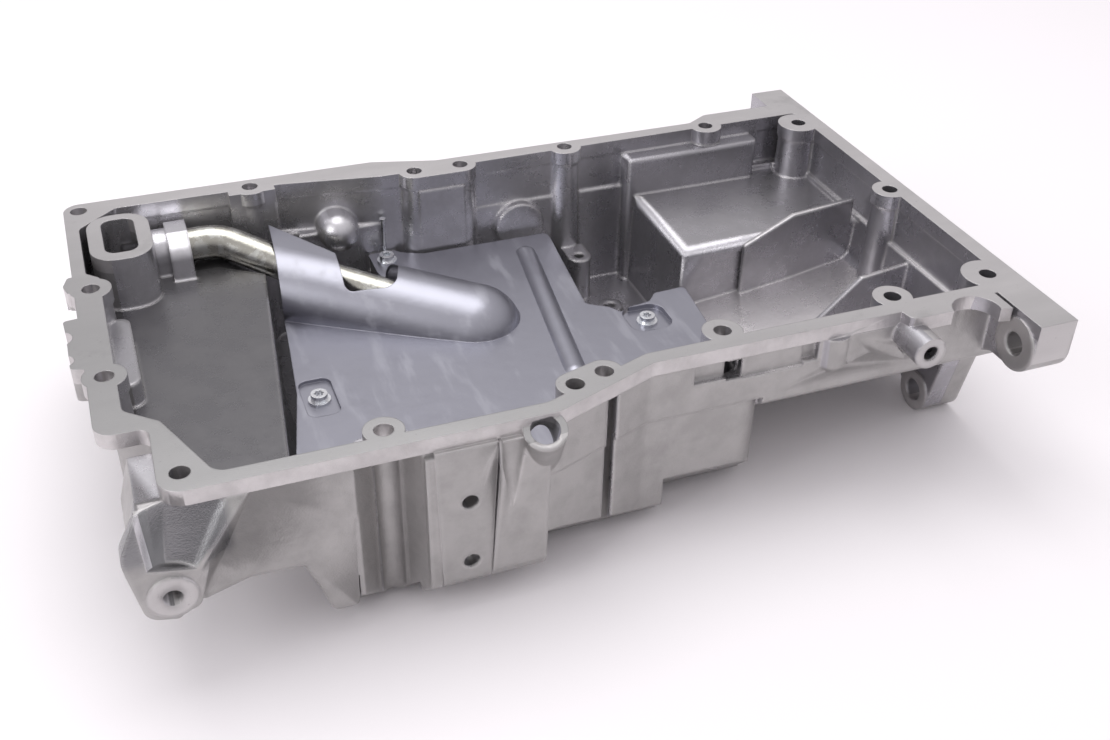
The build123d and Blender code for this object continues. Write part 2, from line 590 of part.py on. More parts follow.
def screw_bores():
    """Bores under the three baffle screws, and two spare tapped holes."""
    bores = []
    for (x, y), top in ((LEFT_SCREW, BAFFLE_Z - RECESS_DEPTH), (RIGHT_SCREW, BAFFLE_Z - TAB_DROP),
                        (BACK_SCREW, BAFFLE_Z)):
        bores.append(upright(SCREW_R + THREAD_CLEAR, x, y, top - SCREW_LENGTH, top + 1))
    bores.append(upright(PIN_R + 0.1, *PIN_AT, PIN_LOW_Z - 0.5, BAFFLE_TOP_Z + 1))
    bores.append(upright(3.3, 71.9, 88, 24, 41))
    bores.append(upright(3.3, 84, 63, SUMP_FLOOR_Z - 1, 16))
    return bores


def underside():
    """Rest ribs, the round pad at the origin and the drain boss."""
    body = upright(14, 0, 0, 0, SUMP_BOTTOM_Z + 1)
    for y in (-60, 0, 60):
        body += block(-118, 60, y - 3, y + 3, 0, SUMP_BOTTOM_Z + 1)
    return body + along_y(DRAIN_BOSS_R, DRAIN_X, DRAIN_Z, 104, DRAIN_FACE_Y)


def casting():
    """The whole casting."""
    flange_body, flange_opening = flange()
    bracket_body, bracket_hole = bracket()
    boss, bore = dipstick_boss()
    outside = outer_body() + flange_body + bracket_body + front_blocks() + boss + right_front()
    thick_floor, channel = tube_channel()
    outside += left_lugs() + underside() + thick_floor
    body = outside - cavity() - channel
    body += columns()
    body += tower()
    inside = inside_details()
    for piece in inside:
        body += piece
    cuts = bolt_cuts() + flange_holes() + tower_cuts() + front_cuts() + right_front_cuts()
    cuts += screw_bores() + [bracket_hole, bore, along_y(PLUG_R + PLUG_CLEAR, DRAIN_X, DRAIN_Z, 90, 130)]
    for cut in cuts:
        body -= cut
    return body


def tunnel(radius, flap_width):
    """Solid of the baffle's tunnel: a round run, a round end and a flat flap at the open end."""
    start = Vector(*TUNNEL_START)
    axis = Vector(*TUNNEL_END) - start
    turn = degrees(atan2(axis.Y, axis.X))
    tilt = degrees(atan2(-axis.Z, hypot(axis.X, axis.Y)))
    run = along_x(radius, 0, 0, 0, axis.length) + Pos(axis.length, 0, 0) * Sphere(radius)
    run += block(0, FLAP_LENGTH, 0, flap_width, 0, radius)
    return Pos(*TUNNEL_START) * Rot(0, 0, turn) * Rot(0, tilt, 0) * run


def bead(radius):
    """Solid of the long raised bead in the plate."""
    x1, y1, x2, y2 = 32.0, 77.0, 15.0, -50.0
    length = hypot(x2 - x1, y2 - y1)
    axis_z = BAFFLE_TOP_Z + BEAD_RISE - BEAD_R
    run = along_x(radius, 0, 0, 0, length) + Sphere(radius) + Pos(length, 0, 0) * Sphere(radius)
    return Pos(x1, y1, axis_z) * Rot(0, 0, degrees(atan2(y2 - y1, x2 - x1))) * run


def baffle_plan():
    """Outline of the baffle plate seen from above."""
    return outline([
        (-141.5, -108, 4), (-139.3, -72, 0), (-129.4, -24, 0), (-125.2, 16, 0), (-120, 69, 0),
        (-117.9, 100, 0), (-87.1, 64.6, 2), (-88.3, 36, 6), (-61, 29, 8), (-54.5, 50, 3), (-60, 84, 3),
        (-60, 105, 2), (-44, 105, 2), (-40, 101, 2), (-28, 95.5, 4), (52, 95.5, 3), (52.3, 88, 3),
        (44.6, 9.5, 4), (56.3, 1.6, 3), (60.4, -5.5, 2), (67.2, -2.1, 2), (80.6, 0, 3), (87, 7.2, 3),
        (106.8, 8.4, 3), (102.3, -32, 4), (87, -82, 5), (40, -96, 8), (20, -108, 6), (-30, -110, 6),
        (-94, -108, 0),
    ])


def baffle_plate():
    """Pressed plate over the sump, with its tunnel, bead and sunk screw places."""
    plan = baffle_plan()
    inner_tunnel = tunnel(TUNNEL_R - SHEET_T, FLAP_WIDTH + 10)
    plate = prism(plan, BAFFLE_Z, BAFFLE_TOP_Z)
    shell = tunnel(TUNNEL_R, FLAP_WIDTH) & prism(plan, BAFFLE_Z, DECK_Z)
    ridge = bead(BEAD_R) & prism(plan, BAFFLE_Z, DECK_Z)
    plate = plate + shell + ridge - inner_tunnel - bead(BEAD_R - SHEET_T)
    places = ((LEFT_SCREW, RECESS_DEPTH, 17, 33, 5), (RIGHT_SCREW, TAB_DROP, 25, 26, 8))
    for (x, y), drop, width, length, radius in places:
        low = BAFFLE_Z - drop
        pan = rounded_slab(x, y, width + 2 * SHEET_T, length + 2 * SHEET_T, radius + SHEET_T, low, BAFFLE_TOP_Z)
        plate += pan & prism(plan, low, BAFFLE_TOP_Z)
        plate -= rounded_slab(x, y, width, length, radius, low + SHEET_T, BAFFLE_TOP_Z + 1)
    for x, y in (LEFT_SCREW, RIGHT_SCREW, BACK_SCREW):
        plate -= upright(SCREW_HOLE_R, x, y, BAFFLE_Z - 5, BAFFLE_TOP_Z + 1)
    plate -= upright(PIN_R + 0.2, *PIN_AT, BAFFLE_Z - 5, BAFFLE_TOP_Z + 1)
    return plate


def flange_screw(x, y, seat_z):
    """Flange screw with a six-lobed socket, standing on seat_z."""
    screw = upright(SCREW_R, x, y, seat_z - SCREW_LENGTH + 1, seat_z + 1)
    screw += upright(SCREW_FLANGE_R, x, y, seat_z, seat_z + 1.3)
    screw += upright(SCREW_HEAD_R, x, y, seat_z, seat_z + 4.6)
    socket = upright(2.0, x, y, seat_z + 2, seat_z + 5)
    for i in range(6):
        angle = radians(60 * i)
        socket += upright(0.7, x + 1.9 * cos(angle), y + 1.9 * sin(angle), seat_z + 2, seat_z + 5)
    return screw - socket


def locating_pin():
    """Thin pin with a small head, standing in the casting behind the back screw."""
    x, y = PIN_AT
    return upright(PIN_R, x, y, PIN_LOW_Z, PIN_TOP_Z) + upright(PIN_R + 0.7, x, y, PIN_TOP_Z - 2, PIN_TOP_Z)


def bent_path(points, bends):
    """Line through points with an arc of the given radius at each inner corner."""
    edges = []
    last = Vector(*points[0])
    for i, radius in enumerate(bends, start=1):
        corner = Vector(*points[i])
        into = (corner - Vector(*points[i - 1])).normalized()
        out = (Vector(*points[i + 1]) - corner).normalized()
        half = radians(into.get_angle(out)) / 2
        reach = radius * tan(half)
        first, second = corner - into * reach, corner + out * reach
        inward = (out - into).normalized()
        middle = corner + inward * (radius / cos(half) - radius)
        edges += [Line(last, first), ThreePointArc(first, middle, second)]
        last = second
    edges.append(Line(last, Vector(*points[-1])))
    return Wire([e.edge() if hasattr(e, "edge") else e for e in edges])


def pickup_tube():
    """Bent tube from the collar through the tunnel down to the pickup."""
    path = bent_path(TUBE_PATH, TUBE_BENDS)
    start = Plane(origin=TUBE_PATH[0], z_dir=(1, 0, 0))
    outer = sweep(start * Circle(TUBE_R), path=path)
    inner = sweep(start * Circle(TUBE_R - TUBE_WALL), path=path)
    return outer - inner


def tube_seal():
    """Seal ring round the tube in the mouth of the collar."""
    left_x = COLLAR_RIGHT_X - SEAL_SEAT_DEPTH
    ring = along_x(TUBE_R + SEAL_T, TUBE_Y, TUBE_Z, left_x, left_x + SEAL_T)
    return ring - along_x(TUBE_R, TUBE_Y, TUBE_Z, left_x - 1, COLLAR_RIGHT_X)


def pickup_bell():
    """Sheet bell at the lower end of the tube."""
    neck_r = TUBE_R + TUBE_CLEAR
    profile = [(neck_r, TUBE_END_Z + 8, 0), (neck_r, TUBE_END_Z, 0), (neck_r - 2, TUBE_END_Z, 0),
               (neck_r - 2, TUBE_END_Z - 2, 0), (BELL_R - SHEET_T, BELL_LOW_Z + 4, 0),
               (BELL_R - SHEET_T, BELL_LOW_Z, 0), (BELL_R, BELL_LOW_Z, 0), (BELL_R, BELL_LOW_Z + 5, 0),
               (neck_r + SHEET_T, TUBE_END_Z, 0), (neck_r + SHEET_T, TUBE_END_Z + 8, 0)]
    shell = revolve(Plane.XZ * outline(profile), axis=Axis.Z)
    return Pos(BELL_X, BELL_Y, 0) * shell


def strainer_screen():
    """Round screen with a grid of square openings, inside the rim of the bell."""
    disc = upright(BELL_R - SHEET_T, 0, 0, BELL_LOW_Z, BELL_LOW_Z + SCREEN_T)
    steps = range(-MESH_STEPS, MESH_STEPS + 1)
    for i, j in [(i, j) for i in steps for j in steps if hypot(i, j) <= MESH_STEPS + 0.2]:
        x, y = i * MESH_PITCH, j * MESH_PITCH
        disc -= block(x - MESH_HOLE / 2, x + MESH_HOLE / 2, y - MESH_HOLE / 2, y + MESH_HOLE / 2, 0, 2 * BELL_LOW_Z)
    return Pos(BELL_X, BELL_Y, 0) * disc


def drain_washer():
    """Flat washer under the head of the drain plug."""
    ring = along_y(WASHER_R, DRAIN_X, DRAIN_Z, DRAIN_FACE_Y, DRAIN_FACE_Y + WASHER_T)
    return ring - along_y(PLUG_R + PLUG_CLEAR, DRAIN_X, DRAIN_Z, DRAIN_FACE_Y - 1, DRAIN_FACE_Y + 3)


def drain_plug():
    """Hexagon headed drain plug with a plain shank."""
    seat_y = DRAIN_FACE_Y + WASHER_T
    plug = along_y(PLUG_R, DRAIN_X, DRAIN_Z, PLUG_TIP_Y, seat_y + 1)
    plug += along_y(WASHER_R, DRAIN_X, DRAIN_Z, seat_y, seat_y + 2)
    head = extrude(Plane.XZ * RegularPolygon(PLUG_HEX_R, 6), amount=PLUG_HEAD_T)
    return plug + Pos(DRAIN_X, seat_y + PLUG_HEAD_T, DRAIN_Z) * head


def build_all():
    """Every piece of the oil pan by its name."""
    return {
        "pan_casting": casting(),
        "baffle_plate": baffle_plate(),
        "left_baffle_screw": flange_screw(*LEFT_SCREW, BAFFLE_TOP_Z - RECESS_DEPTH),
        "right_baffle_screw": flange_screw(*RIGHT_SCREW, BAFFLE_TOP_Z - TAB_DROP),
        "back_baffle_screw": flange_screw(*BACK_SCREW, BAFFLE_TOP_Z),
        "locating_pin": locating_pin(),
        "pickup_tube": pickup_tube(),
        "tube_seal": tube_seal(),
        "pickup_bell": pickup_bell(),
        "strainer_screen": strainer_screen(),
        "drain_plug": drain_plug(),
        "drain_washer": drain_washer(),
    }


if __name__ == "__main__":
    os.makedirs("parts", exist_ok=True)
    for name, shape in build_all().items():
        export_step(shape, f"parts/{name}.step")
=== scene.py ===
"""Looks of a cast aluminium engine oil pan, with its baffle plate and pickup tube.

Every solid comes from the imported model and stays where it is. This script gives the pieces their
finishes, stands a copy of the casting with finer forms in the casting's place, and makes the floor,
the lamps and the camera. Lengths are metres in the part's frame, and millimetres in Stock and
CastingForm.
"""

import logging
import math
from dataclasses import dataclass
from enum import Enum
from functools import reduce

import bmesh
import bpy
from mathutils import Matrix, Vector
from mathutils.kdtree import KDTree

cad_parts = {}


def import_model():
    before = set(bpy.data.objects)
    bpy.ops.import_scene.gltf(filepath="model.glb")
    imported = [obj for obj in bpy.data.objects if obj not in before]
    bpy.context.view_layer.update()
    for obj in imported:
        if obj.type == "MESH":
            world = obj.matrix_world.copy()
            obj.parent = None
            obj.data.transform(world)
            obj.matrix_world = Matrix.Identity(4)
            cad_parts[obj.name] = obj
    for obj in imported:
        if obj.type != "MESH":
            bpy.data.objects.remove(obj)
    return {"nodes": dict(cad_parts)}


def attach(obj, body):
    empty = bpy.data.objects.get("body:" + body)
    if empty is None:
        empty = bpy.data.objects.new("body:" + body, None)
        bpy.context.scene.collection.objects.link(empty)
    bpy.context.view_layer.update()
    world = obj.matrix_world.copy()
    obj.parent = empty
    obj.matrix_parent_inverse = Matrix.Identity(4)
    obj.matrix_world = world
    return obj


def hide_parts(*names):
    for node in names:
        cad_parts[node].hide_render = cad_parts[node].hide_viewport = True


LOG = logging.getLogger("oil_pan")
DECK_Z = 0.106
MM = 0.001
ROUND_SIDES = 72
CORNER_STEPS = 8
QUARTER_TURN = range(0, 91, 9)
ON_PLANE = 1e-5

# A place is x, y, z. A corner is u, v and its radius, and a point is u, v. A span says where a mask is 0
# and where it is 1, or what a form has at its two ends.
Colour = tuple[float, float, float]
Place = tuple[float, float, float]
Corner = tuple[float, float, float]
Point = tuple[float, float]
Span = tuple[float, float]
Object = bpy.types.Object
Node = bpy.types.Node
Socket = bpy.types.NodeSocket


class Body(Enum):
    """Names of the bodies that pieces ride on."""

    ROOT = "root"


class Effect(Enum):
    """Names of the shader groups that several finishes share."""

    CAST_SKIN = "cast_skin"
    TOOL_MARKS = "tool_marks"
    GRIME = "grime"
    SOFT_EDGE = "soft_edge"


def darker(colour: Colour, share: float) -> Colour:
    """A share of a colour's brightness."""
    return tuple(share * value for value in colour)


class Graph:
    """A node tree with short calls for making and joining nodes."""

    def __init__(self, tree: bpy.types.NodeTree) -> None:
        """Keeps the tree that the nodes go into."""
        self.tree = tree

    def node(self, kind: str, **values: object) -> Node:
        """Adds a node.

        Args:
            kind: The node's type name.
            **values: Properties to set on it.

        Returns:
            The new node.
        """
        made = self.tree.nodes.new(kind)
        for key, value in values.items():
            setattr(made, key, value)
        return made

    def feed(self, socket: Socket, value: object) -> None:
        """Links a socket to the input, or sets it to a plain value.

        Args:
            socket: The input socket.
            value: A socket to link from, or a number, vector or colour.
        """
        if isinstance(value, Socket):
            self.tree.links.new(value, socket)
        else:
            socket.default_value = value

    def math(self, operation: str, a: object, b: object = 0.0, c: object = 0.0) -> Socket:
        """Adds a Math node.

        Args:
            operation: The operation's name.
            a: First value.
            b: Second value.
            c: Third value.

        Returns:
            Its result.
        """
        made = self.node("ShaderNodeMath", operation=operation)
        for socket, value in zip(made.inputs, (a, b, c)):
            self.feed(socket, value)
        return made.outputs[0]

    def step(self, value: object, low: float, high: float) -> Socket:
        """Smooth mask that goes from 0 at low to 1 at high, or falls where low is above high.

        Args:
            value: The value to test.
            low: Where the mask is 0.
            high: Where the mask is 1.

        Returns:
            The mask.
        """
        made = self.node("ShaderNodeMapRange", interpolation_type="SMOOTHSTEP")
        self.feed(made.inputs["Value"], value)
        limits = (low, high, 0.0, 1.0) if low < high else (high, low, 1.0, 0.0)
        for name, limit in zip(("From Min", "From Max", "To Min", "To Max"), limits):
            made.inputs[name].default_value = limit
        return made.outputs["Result"]

    def both(self, *masks: object) -> Socket:
        """Product of masks."""
        return reduce(lambda a, b: self.math("MULTIPLY", a, b), masks)

    def either(self, *masks: object) -> Socket:
        """Largest of masks."""
        return reduce(lambda a, b: self.math("MAXIMUM", a, b), masks)

    def within(self, *limits: tuple[object, Span]) -> Socket:
        """Product of a smooth mask for each value with its span."""
        return self.both(*(self.step(value, *span) for value, span in limits))

    def mix_colour(self, mask: object, a: object, b: object) -> Socket:
        """Blends two colours.

        Args:
            mask: 0 for the first colour, 1 for the second.
            a: First colour.
            b: Second colour.

        Returns:
            The blend.
        """
        made = self.node("ShaderNodeMix", data_type="RGBA")
        self.feed(made.inputs[0], mask)
        self.feed(made.inputs[6], (*a, 1.0) if isinstance(a, tuple) else a)
        self.feed(made.inputs[7], (*b, 1.0) if isinstance(b, tuple) else b)
        return made.outputs[2]

    def mix_value(self, mask: object, a: object, b: object) -> Socket:
        """Blends two numbers.

        Args:
            mask: 0 for the first, 1 for the second.
            a: First number.
            b: Second number.

        Returns:
            The blend.
        """
        made = self.node("ShaderNodeMix", data_type="FLOAT")
        self.feed(made.inputs[0], mask)
        self.feed(made.inputs[2], a)
        self.feed(made.inputs[3], b)
        return made.outputs[0]

    def noise(self, scale: float, detail: float = 4.0, stretch: Place = (1.0, 1.0, 1.0),
              roughness: float = 0.5) -> Socket:
        """Noise over the object's own coordinates.

        Args:
            scale: Features per metre.
            detail: Octaves of detail.
            stretch: Scale along each axis.
            roughness: Strength of the small detail.

        Returns:
            The noise, about 0.5 on average.
        """
        place = self.node("ShaderNodeTexCoord")
        mapping = self.node("ShaderNodeMapping")
        self.feed(mapping.inputs["Vector"], place.outputs["Object"])
        mapping.inputs["Scale"].default_value = stretch
        made = self.node("ShaderNodeTexNoise")
        self.feed(made.inputs["Vector"], mapping.outputs["Vector"])
        made.inputs["Scale"].default_value = scale
        made.inputs["Detail"].default_value = detail
        made.inputs["Roughness"].default_value = roughness
        return made.outputs["Fac"]


def fresh_graph(owner: bpy.types.ID) -> Graph:
    """Empties the node tree of a material or world, and gives its graph.

    Args:
        owner: The material or world.

    Returns:
        The graph.
    """
    owner.use_nodes = True
    owner.node_tree.nodes.clear()
    return Graph(owner.node_tree)


def new_object(name: str, data: bpy.types.ID) -> Object:
    """Makes an object and links it to the scene.

    Args:
        name: Its name.
        data: Its mesh, lamp or camera.

    Returns:
        The object.
    """
    made = bpy.data.objects.new(name, data)
    bpy.context.scene.collection.objects.link(made)
    return made


@dataclass(frozen=True)
class Surface:
    """Where the surface is and which way it faces, as sockets."""

    x: Socket
    y: Socket
    z: Socket
    facing_x: Socket
    facing_y: Socket
    facing_z: Socket

    @classmethod
    def read(cls, graph: Graph) -> "Surface":
        """Splits the object's own coordinates and the true normal.

        Args:
            graph: The material's graph.

        Returns:
            The sockets.
        """
        geometry = graph.node("ShaderNodeNewGeometry")
        where = graph.node("ShaderNodeTexCoord")
        position = graph.node("ShaderNodeSeparateXYZ")
        facing = graph.node("ShaderNodeSeparateXYZ")
        graph.feed(position.inputs[0], where.outputs["Object"])
        graph.feed(facing.inputs[0], geometry.outputs["True Normal"])
        return cls(*position.outputs, *facing.outputs)


def new_group(effect: Effect, inputs: dict[str, float], outputs: dict[str, str]) -> tuple[Graph, dict, dict]:
    """Makes an empty shader group.

    Args:
        effect: Name of the group.
        inputs: Number inputs with their defaults.
        outputs: Outputs with their socket types.

    Returns:
        The group's graph, its input sockets by name and its output sockets by name.
    """
    tree = bpy.data.node_groups.new(effect.value, "ShaderNodeTree")
    for name, value in inputs.items():
        socket = tree.interface.new_socket(name=name, in_out="INPUT", socket_type="NodeSocketFloat")
        socket.default_value = value
    for name, kind in outputs.items():
        tree.interface.new_socket(name=name, in_out="OUTPUT", socket_type=kind)
    graph = Graph(tree)
    entry = graph.node("NodeGroupInput")
    leave = graph.node("NodeGroupOutput")
    return graph, {n: entry.outputs[n] for n in inputs}, {n: leave.inputs[n] for n in outputs}


@dataclass(frozen=True)
class SharedEffects:
    """Shader groups that several finishes use, with scales in features per metre."""

    fine_scale: float = 1400.0
    coarse_scale: float = 260.0
    fine_share: float = 0.4
    coarse_share: float = 0.6
    flow_scale: float = 38.0
    flow_stretch: Place = (1.0, 1.0, 0.35)
    mottle_scale: float = 55.0
    mottle: Span = (0.35, 0.68)
    mill_shift: Place = (0.9, 1.4, 0.0)
    mill_waver: float = 0.6
    streak_scale: float = 90.0
    streak_stretch: Place = (0.25, 1.0, 1.0)
    stain_scale: float = 22.0
    stain: Span = (0.5, 0.72)
    speck_scale: float = 620.0
    speck: Span = (0.70, 0.76)
    edge: Span = (0.985, 0.88)

    def build(self) -> None:
        """Makes every group once."""
        self.cast_skin()
        self.tool_marks()
        self.grime()
        self.soft_edge()

    def cast_skin(self) -> None:
        """Rough skin of a die casting: fine grain, shallow flow marks and a mottled tone."""
        graph, given, out = new_group(
            Effect.CAST_SKIN, {"Grain": 1.0, "Flow": 1.0},
            {"Height": "NodeSocketFloat", "Mottle": "NodeSocketFloat"})
        fine = graph.noise(self.fine_scale, 3.0)
        coarse = graph.noise(self.coarse_scale, 5.0, roughness=0.6)
        flow = graph.noise(self.flow_scale, 3.0, self.flow_stretch)
        rough = graph.math("MULTIPLY_ADD", coarse, self.coarse_share, graph.both(fine, self.fine_share))
        grain = graph.both(rough, given["Grain"])
        wave = graph.both(flow, given["Flow"])
        graph.feed(out["Height"], graph.math("ADD", grain, wave))
        blotch = graph.noise(self.mottle_scale, 6.0, roughness=0.65)
        graph.feed(out["Mottle"], graph.step(blotch, *self.mottle))

    def tool_marks(self) -> None:
        """Fine arcs that a face mill leaves."""
        graph, given, out = new_group(
            Effect.TOOL_MARKS, {"Pitch": 900.0},
            {"Height": "NodeSocketFloat", "Streak": "NodeSocketFloat"})
        place = graph.node("ShaderNodeTexCoord")
        wave = graph.node("ShaderNodeTexWave", wave_type="RINGS", rings_direction="Z", wave_profile="SAW")
        mapping = graph.node("ShaderNodeMapping")
        mapping.inputs["Location"].default_value = self.mill_shift
        graph.feed(mapping.inputs["Vector"], place.outputs["Object"])
        graph.feed(wave.inputs["Vector"], mapping.outputs["Vector"])
        graph.feed(wave.inputs["Scale"], given["Pitch"])
        wave.inputs["Distortion"].default_value = self.mill_waver
        graph.feed(out["Height"], wave.outputs["Fac"])
        graph.feed(out["Streak"], graph.noise(self.streak_scale, 3.0, self.streak_stretch))

    def grime(self) -> None:
        """Stains and handling marks, darker in patches."""
        graph, given, out = new_group(
            Effect.GRIME, {"Amount": 1.0}, {"Stain": "NodeSocketFloat", "Speck": "NodeSocketFloat"})
        patch = graph.step(graph.noise(self.stain_scale, 7.0, roughness=0.7), *self.stain)
        graph.feed(out["Stain"], graph.both(patch, given["Amount"]))
        speck = graph.step(graph.noise(self.speck_scale, 2.0), *self.speck)
        graph.feed(out["Speck"], graph.both(speck, given["Amount"]))

    def soft_edge(self) -> None:
        """Normal that rounds the sharp edges, and a mask of where they are."""
        graph, given, out = new_group(
            Effect.SOFT_EDGE, {"Radius": 0.0012}, {"Normal": "NodeSocketVector", "Edge": "NodeSocketFloat"})
        bevel = graph.node("ShaderNodeBevel", samples=4)
        graph.feed(bevel.inputs["Radius"], given["Radius"])
        geometry = graph.node("ShaderNodeNewGeometry")
        dot = graph.node("ShaderNodeVectorMath", operation="DOT_PRODUCT")
        graph.feed(dot.inputs[0], bevel.outputs["Normal"])
        graph.feed(dot.inputs[1], geometry.outputs["Normal"])
        graph.feed(out["Normal"], bevel.outputs["Normal"])
        graph.feed(out["Edge"], graph.step(dot.outputs["Value"], *self.edge))


@dataclass(frozen=True)
class Finish:
    """What every finish has: a name, a colour and how it shines."""

    name: str
    colour: Colour
    roughness: float
    metallic: float = 1.0

    def start(self) -> tuple[bpy.types.Material, Graph, Node]:
        """Makes the material with its shader.

        Returns:
            The material, its graph and its Principled BSDF node.
        """
        material = bpy.data.materials.new(self.name)
        graph = fresh_graph(material)
        shader = graph.node("ShaderNodeBsdfPrincipled")
        end = graph.node("ShaderNodeOutputMaterial")
        graph.feed(end.inputs["Surface"], shader.outputs["BSDF"])
        shader.inputs["Metallic"].default_value = self.metallic
        shader.inputs["Roughness"].default_value = self.roughness
        shader.inputs["Base Color"].default_value = (*self.colour, 1.0)
        return material, graph, shader

    def effect(self, graph: Graph, effect: Effect, **values: float) -> Node:
        """Places a shared group in the material.

        Args:
            graph: The material's graph.
            effect: Which group.
            **values: Numbers for its inputs.

        Returns:
            The group node.
        """
        made = graph.node("ShaderNodeGroup", node_tree=bpy.data.node_groups[effect.value])
        for name, value in values.items():
            made.inputs[name].default_value = value
        return made

    def bump(self, graph: Graph, shader: Node, height: object, distance: float,
             normal: object = None) -> None:
        """Feeds the shader's normal from a height.

        Args:
            graph: The material's graph.
            shader: The Principled BSDF node.
            height: Height, 0 to 1.
            distance: Height in metres of a full step.
            normal: Normal to start from.
        """
        made = graph.node("ShaderNodeBump")
        made.inputs["Strength"].default_value = 1.0
        made.inputs["Distance"].default_value = distance
        graph.feed(made.inputs["Height"], height)
        if normal is not None:
            graph.feed(made.inputs["Normal"], normal)
        graph.feed(shader.inputs["Normal"], made.outputs["Normal"])


@dataclass(frozen=True)
class CastFinish(Finish):
    """Die cast aluminium: rough outside, smoother inside, bright where it is machined.

    The colours come first, with painted light and shade among them inside the pan, on the machined faces and
    along the edges, then how they shine, then the spans that part them.
    """

    rail_side: Colour = (0.62, 0.60, 0.60)
    # bowl: painted shade, making the bracket's hollow darker than the outer skin
    bowl: Colour = (0.24, 0.24, 0.25)
    # inside: painted light, making the pan's inner walls lighter than the outer skin of the same metal
    inside: Colour = (0.64, 0.63, 0.66)
    # painted shade: the deep walls on the pan's right side are darker
    deep_painted_shade: Colour = (0.44, 0.43, 0.46)
    # landing: painted shade, the colour of every inner floor, darker than the walls
    landing: Colour = (0.40, 0.39, 0.41)
    # painted shade: the left shelf floor is much darker
    shelf_painted_shade: Colour = (0.175, 0.172, 0.18)
    # painted light and reflection: the trough floor is lighter
    trough_painted_light: Colour = (0.82, 0.79, 0.80)
    # painted light: machined faces are lighter towards the back right, and the next colour is their painted
    # shade copy towards the front left
    machined: Colour = (0.64, 0.62, 0.62)
    machined_painted_shade: Colour = (0.39, 0.385, 0.385)
    # painted highlight along the sharp edges, partly worn metal
    edge_highlight_and_wear: Colour = (0.80, 0.78, 0.78)

    inside_roughness: float = 0.25
    bowl_roughness: float = 0.24
    machined_roughness: float = 0.36
    mottle_share: float = 0.22
    stain_share: float = 0.16
    # Share of the painted highlight, with some wear, along the sharp edges.
    edge_highlight_share: float = 0.45
    pad_share: float = 0.12
    # How much the bracket boss's face is kept out of the painted shade on the machined faces.
    boss_share: float = 0.7
    streak_share: float = 0.30
    speck_share: float = 0.5
    smear_share: float = 0.35
    mottle_tone: float = 0.45
    stain_tone: float = 0.4
    worn_tone: float = 0.6
    rougher: float = 0.08
    inside_rougher: float = 0.10
    mill_pitch: float = 260.0
    outer_grain: float = 0.6
    inner_grain: float = 0.22
    mill_marks: float = 0.09
    skin_depth: float = 0.0006
    wide_edge: float = 0.003
    crisp_edge: float = 0.0007

    along_axis: Span = (0.95, 0.98)
    nearly_along: Span = (0.9, 0.95)
    rail_top: Span = (DECK_Z - 0.0002, DECK_Z - 0.0001)
    rail_band: Span = (DECK_Z - 0.0085, DECK_Z - 0.0078)
    front_face: Span = (-0.1448, -0.14495)
    pad_face: Span = (-0.1459, -0.1461)
    pad_left: Span = (-0.0900, -0.0896)
    pad_right: Span = (-0.0595, -0.0600)
    bracket_side: Span = (-0.190, -0.191)
    bracket_boss: Span = (-0.1514, -0.1517)
    lug_side: Span = (0.150, 0.151)
    rear_face: Span = (0.2407, 0.2409)
    ear_front: Span = (0.2176, 0.2178)
    ear_back: Span = (0.2188, 0.2186)
    ring_front: Span = (-0.134, -0.136)
    ring_lean: Span = (-0.49, -0.495)
    ring_rise: Span = (-0.515, -0.508)
    ring_up: Span = (0.85, 0.856)
    middle: Point = (-0.02, -0.01)
    facing_middle: Span = (0.0, 0.004)
    facing_up: Span = (0.3, 0.5)
    not_under: Span = (-0.6, -0.3)
    past_front_wall: Span = (-0.137, -0.135)
    well_left: Span = (0.112, 0.116)
    well_right: Span = (0.2305, 0.2295)
    well_front: Span = (-0.116, -0.112)
    well_back: Span = (0.106, 0.104)
    # Spans of the bracket's hollow, which gets painted shade and a smoother finish.
    bowl_right: Span = (-0.176, -0.182)
    bowl_front: Span = (-0.1506, -0.1490)
    bowl_back: Span = (-0.132, -0.134)
    bowl_foot: Span = (0.064, 0.072)
    bowl_top: Span = (0.0982, 0.0976)
    # Spans of the painted light and shade inside the pan: the floors, the deep walls, the shelf and the
    # trough.
    level: Span = (0.85, 0.95)
    below_rail: Span = (0.090, 0.085)
    deep_side: Span = (0.080, 0.095)
    shelf_side: Span = (-0.100, -0.112)
    trough_left: Span = (0.085, 0.095)
    trough_back: Span = (0.0225, 0.0205)
    # Painted light and shade on the machined faces: a ramp of x times the slope plus y, dark at the span's
    # low end and light at its high end.
    painted_light_slope: float = 0.6
    painted_light_span: Span = (-0.18, 0.06)

    def machined_mask(self, graph: Graph, at: Surface) -> Socket:
        """Where the casting is machined: rail, pad, boss faces, flange and dipstick ring.

        Args:
            graph: The material's graph.
            at: The surface.

        Returns:
            The mask.
        """
        to_front = graph.math("MULTIPLY", at.facing_y, -1.0)
        to_left = graph.math("MULTIPLY", at.facing_x, -1.0)
        rail = graph.within((at.z, self.rail_top), (at.facing_z, self.nearly_along))
        front = graph.within((to_front, self.along_axis), (at.y, self.front_face))
        pad = graph.both(self.pad_share, front, graph.within(
            (at.y, self.pad_face), (at.x, self.pad_left), (at.x, self.pad_right)))
        bracket = graph.within((at.x, self.bracket_side), (at.y, self.bracket_boss))
        bosses = graph.both(front, graph.either(graph.step(at.x, *self.lug_side), bracket))
        rear = graph.within((at.x, self.rear_face), (at.facing_x, self.nearly_along))
        ears = graph.within((to_left, self.along_axis), (at.x, self.ear_front), (at.x, self.ear_back))
        ring = graph.within((at.facing_y, self.ring_lean), (at.facing_y, self.ring_rise),
                            (at.facing_z, self.ring_up), (at.y, self.ring_front))
        return graph.either(rail, pad, bosses, rear, ears, ring)

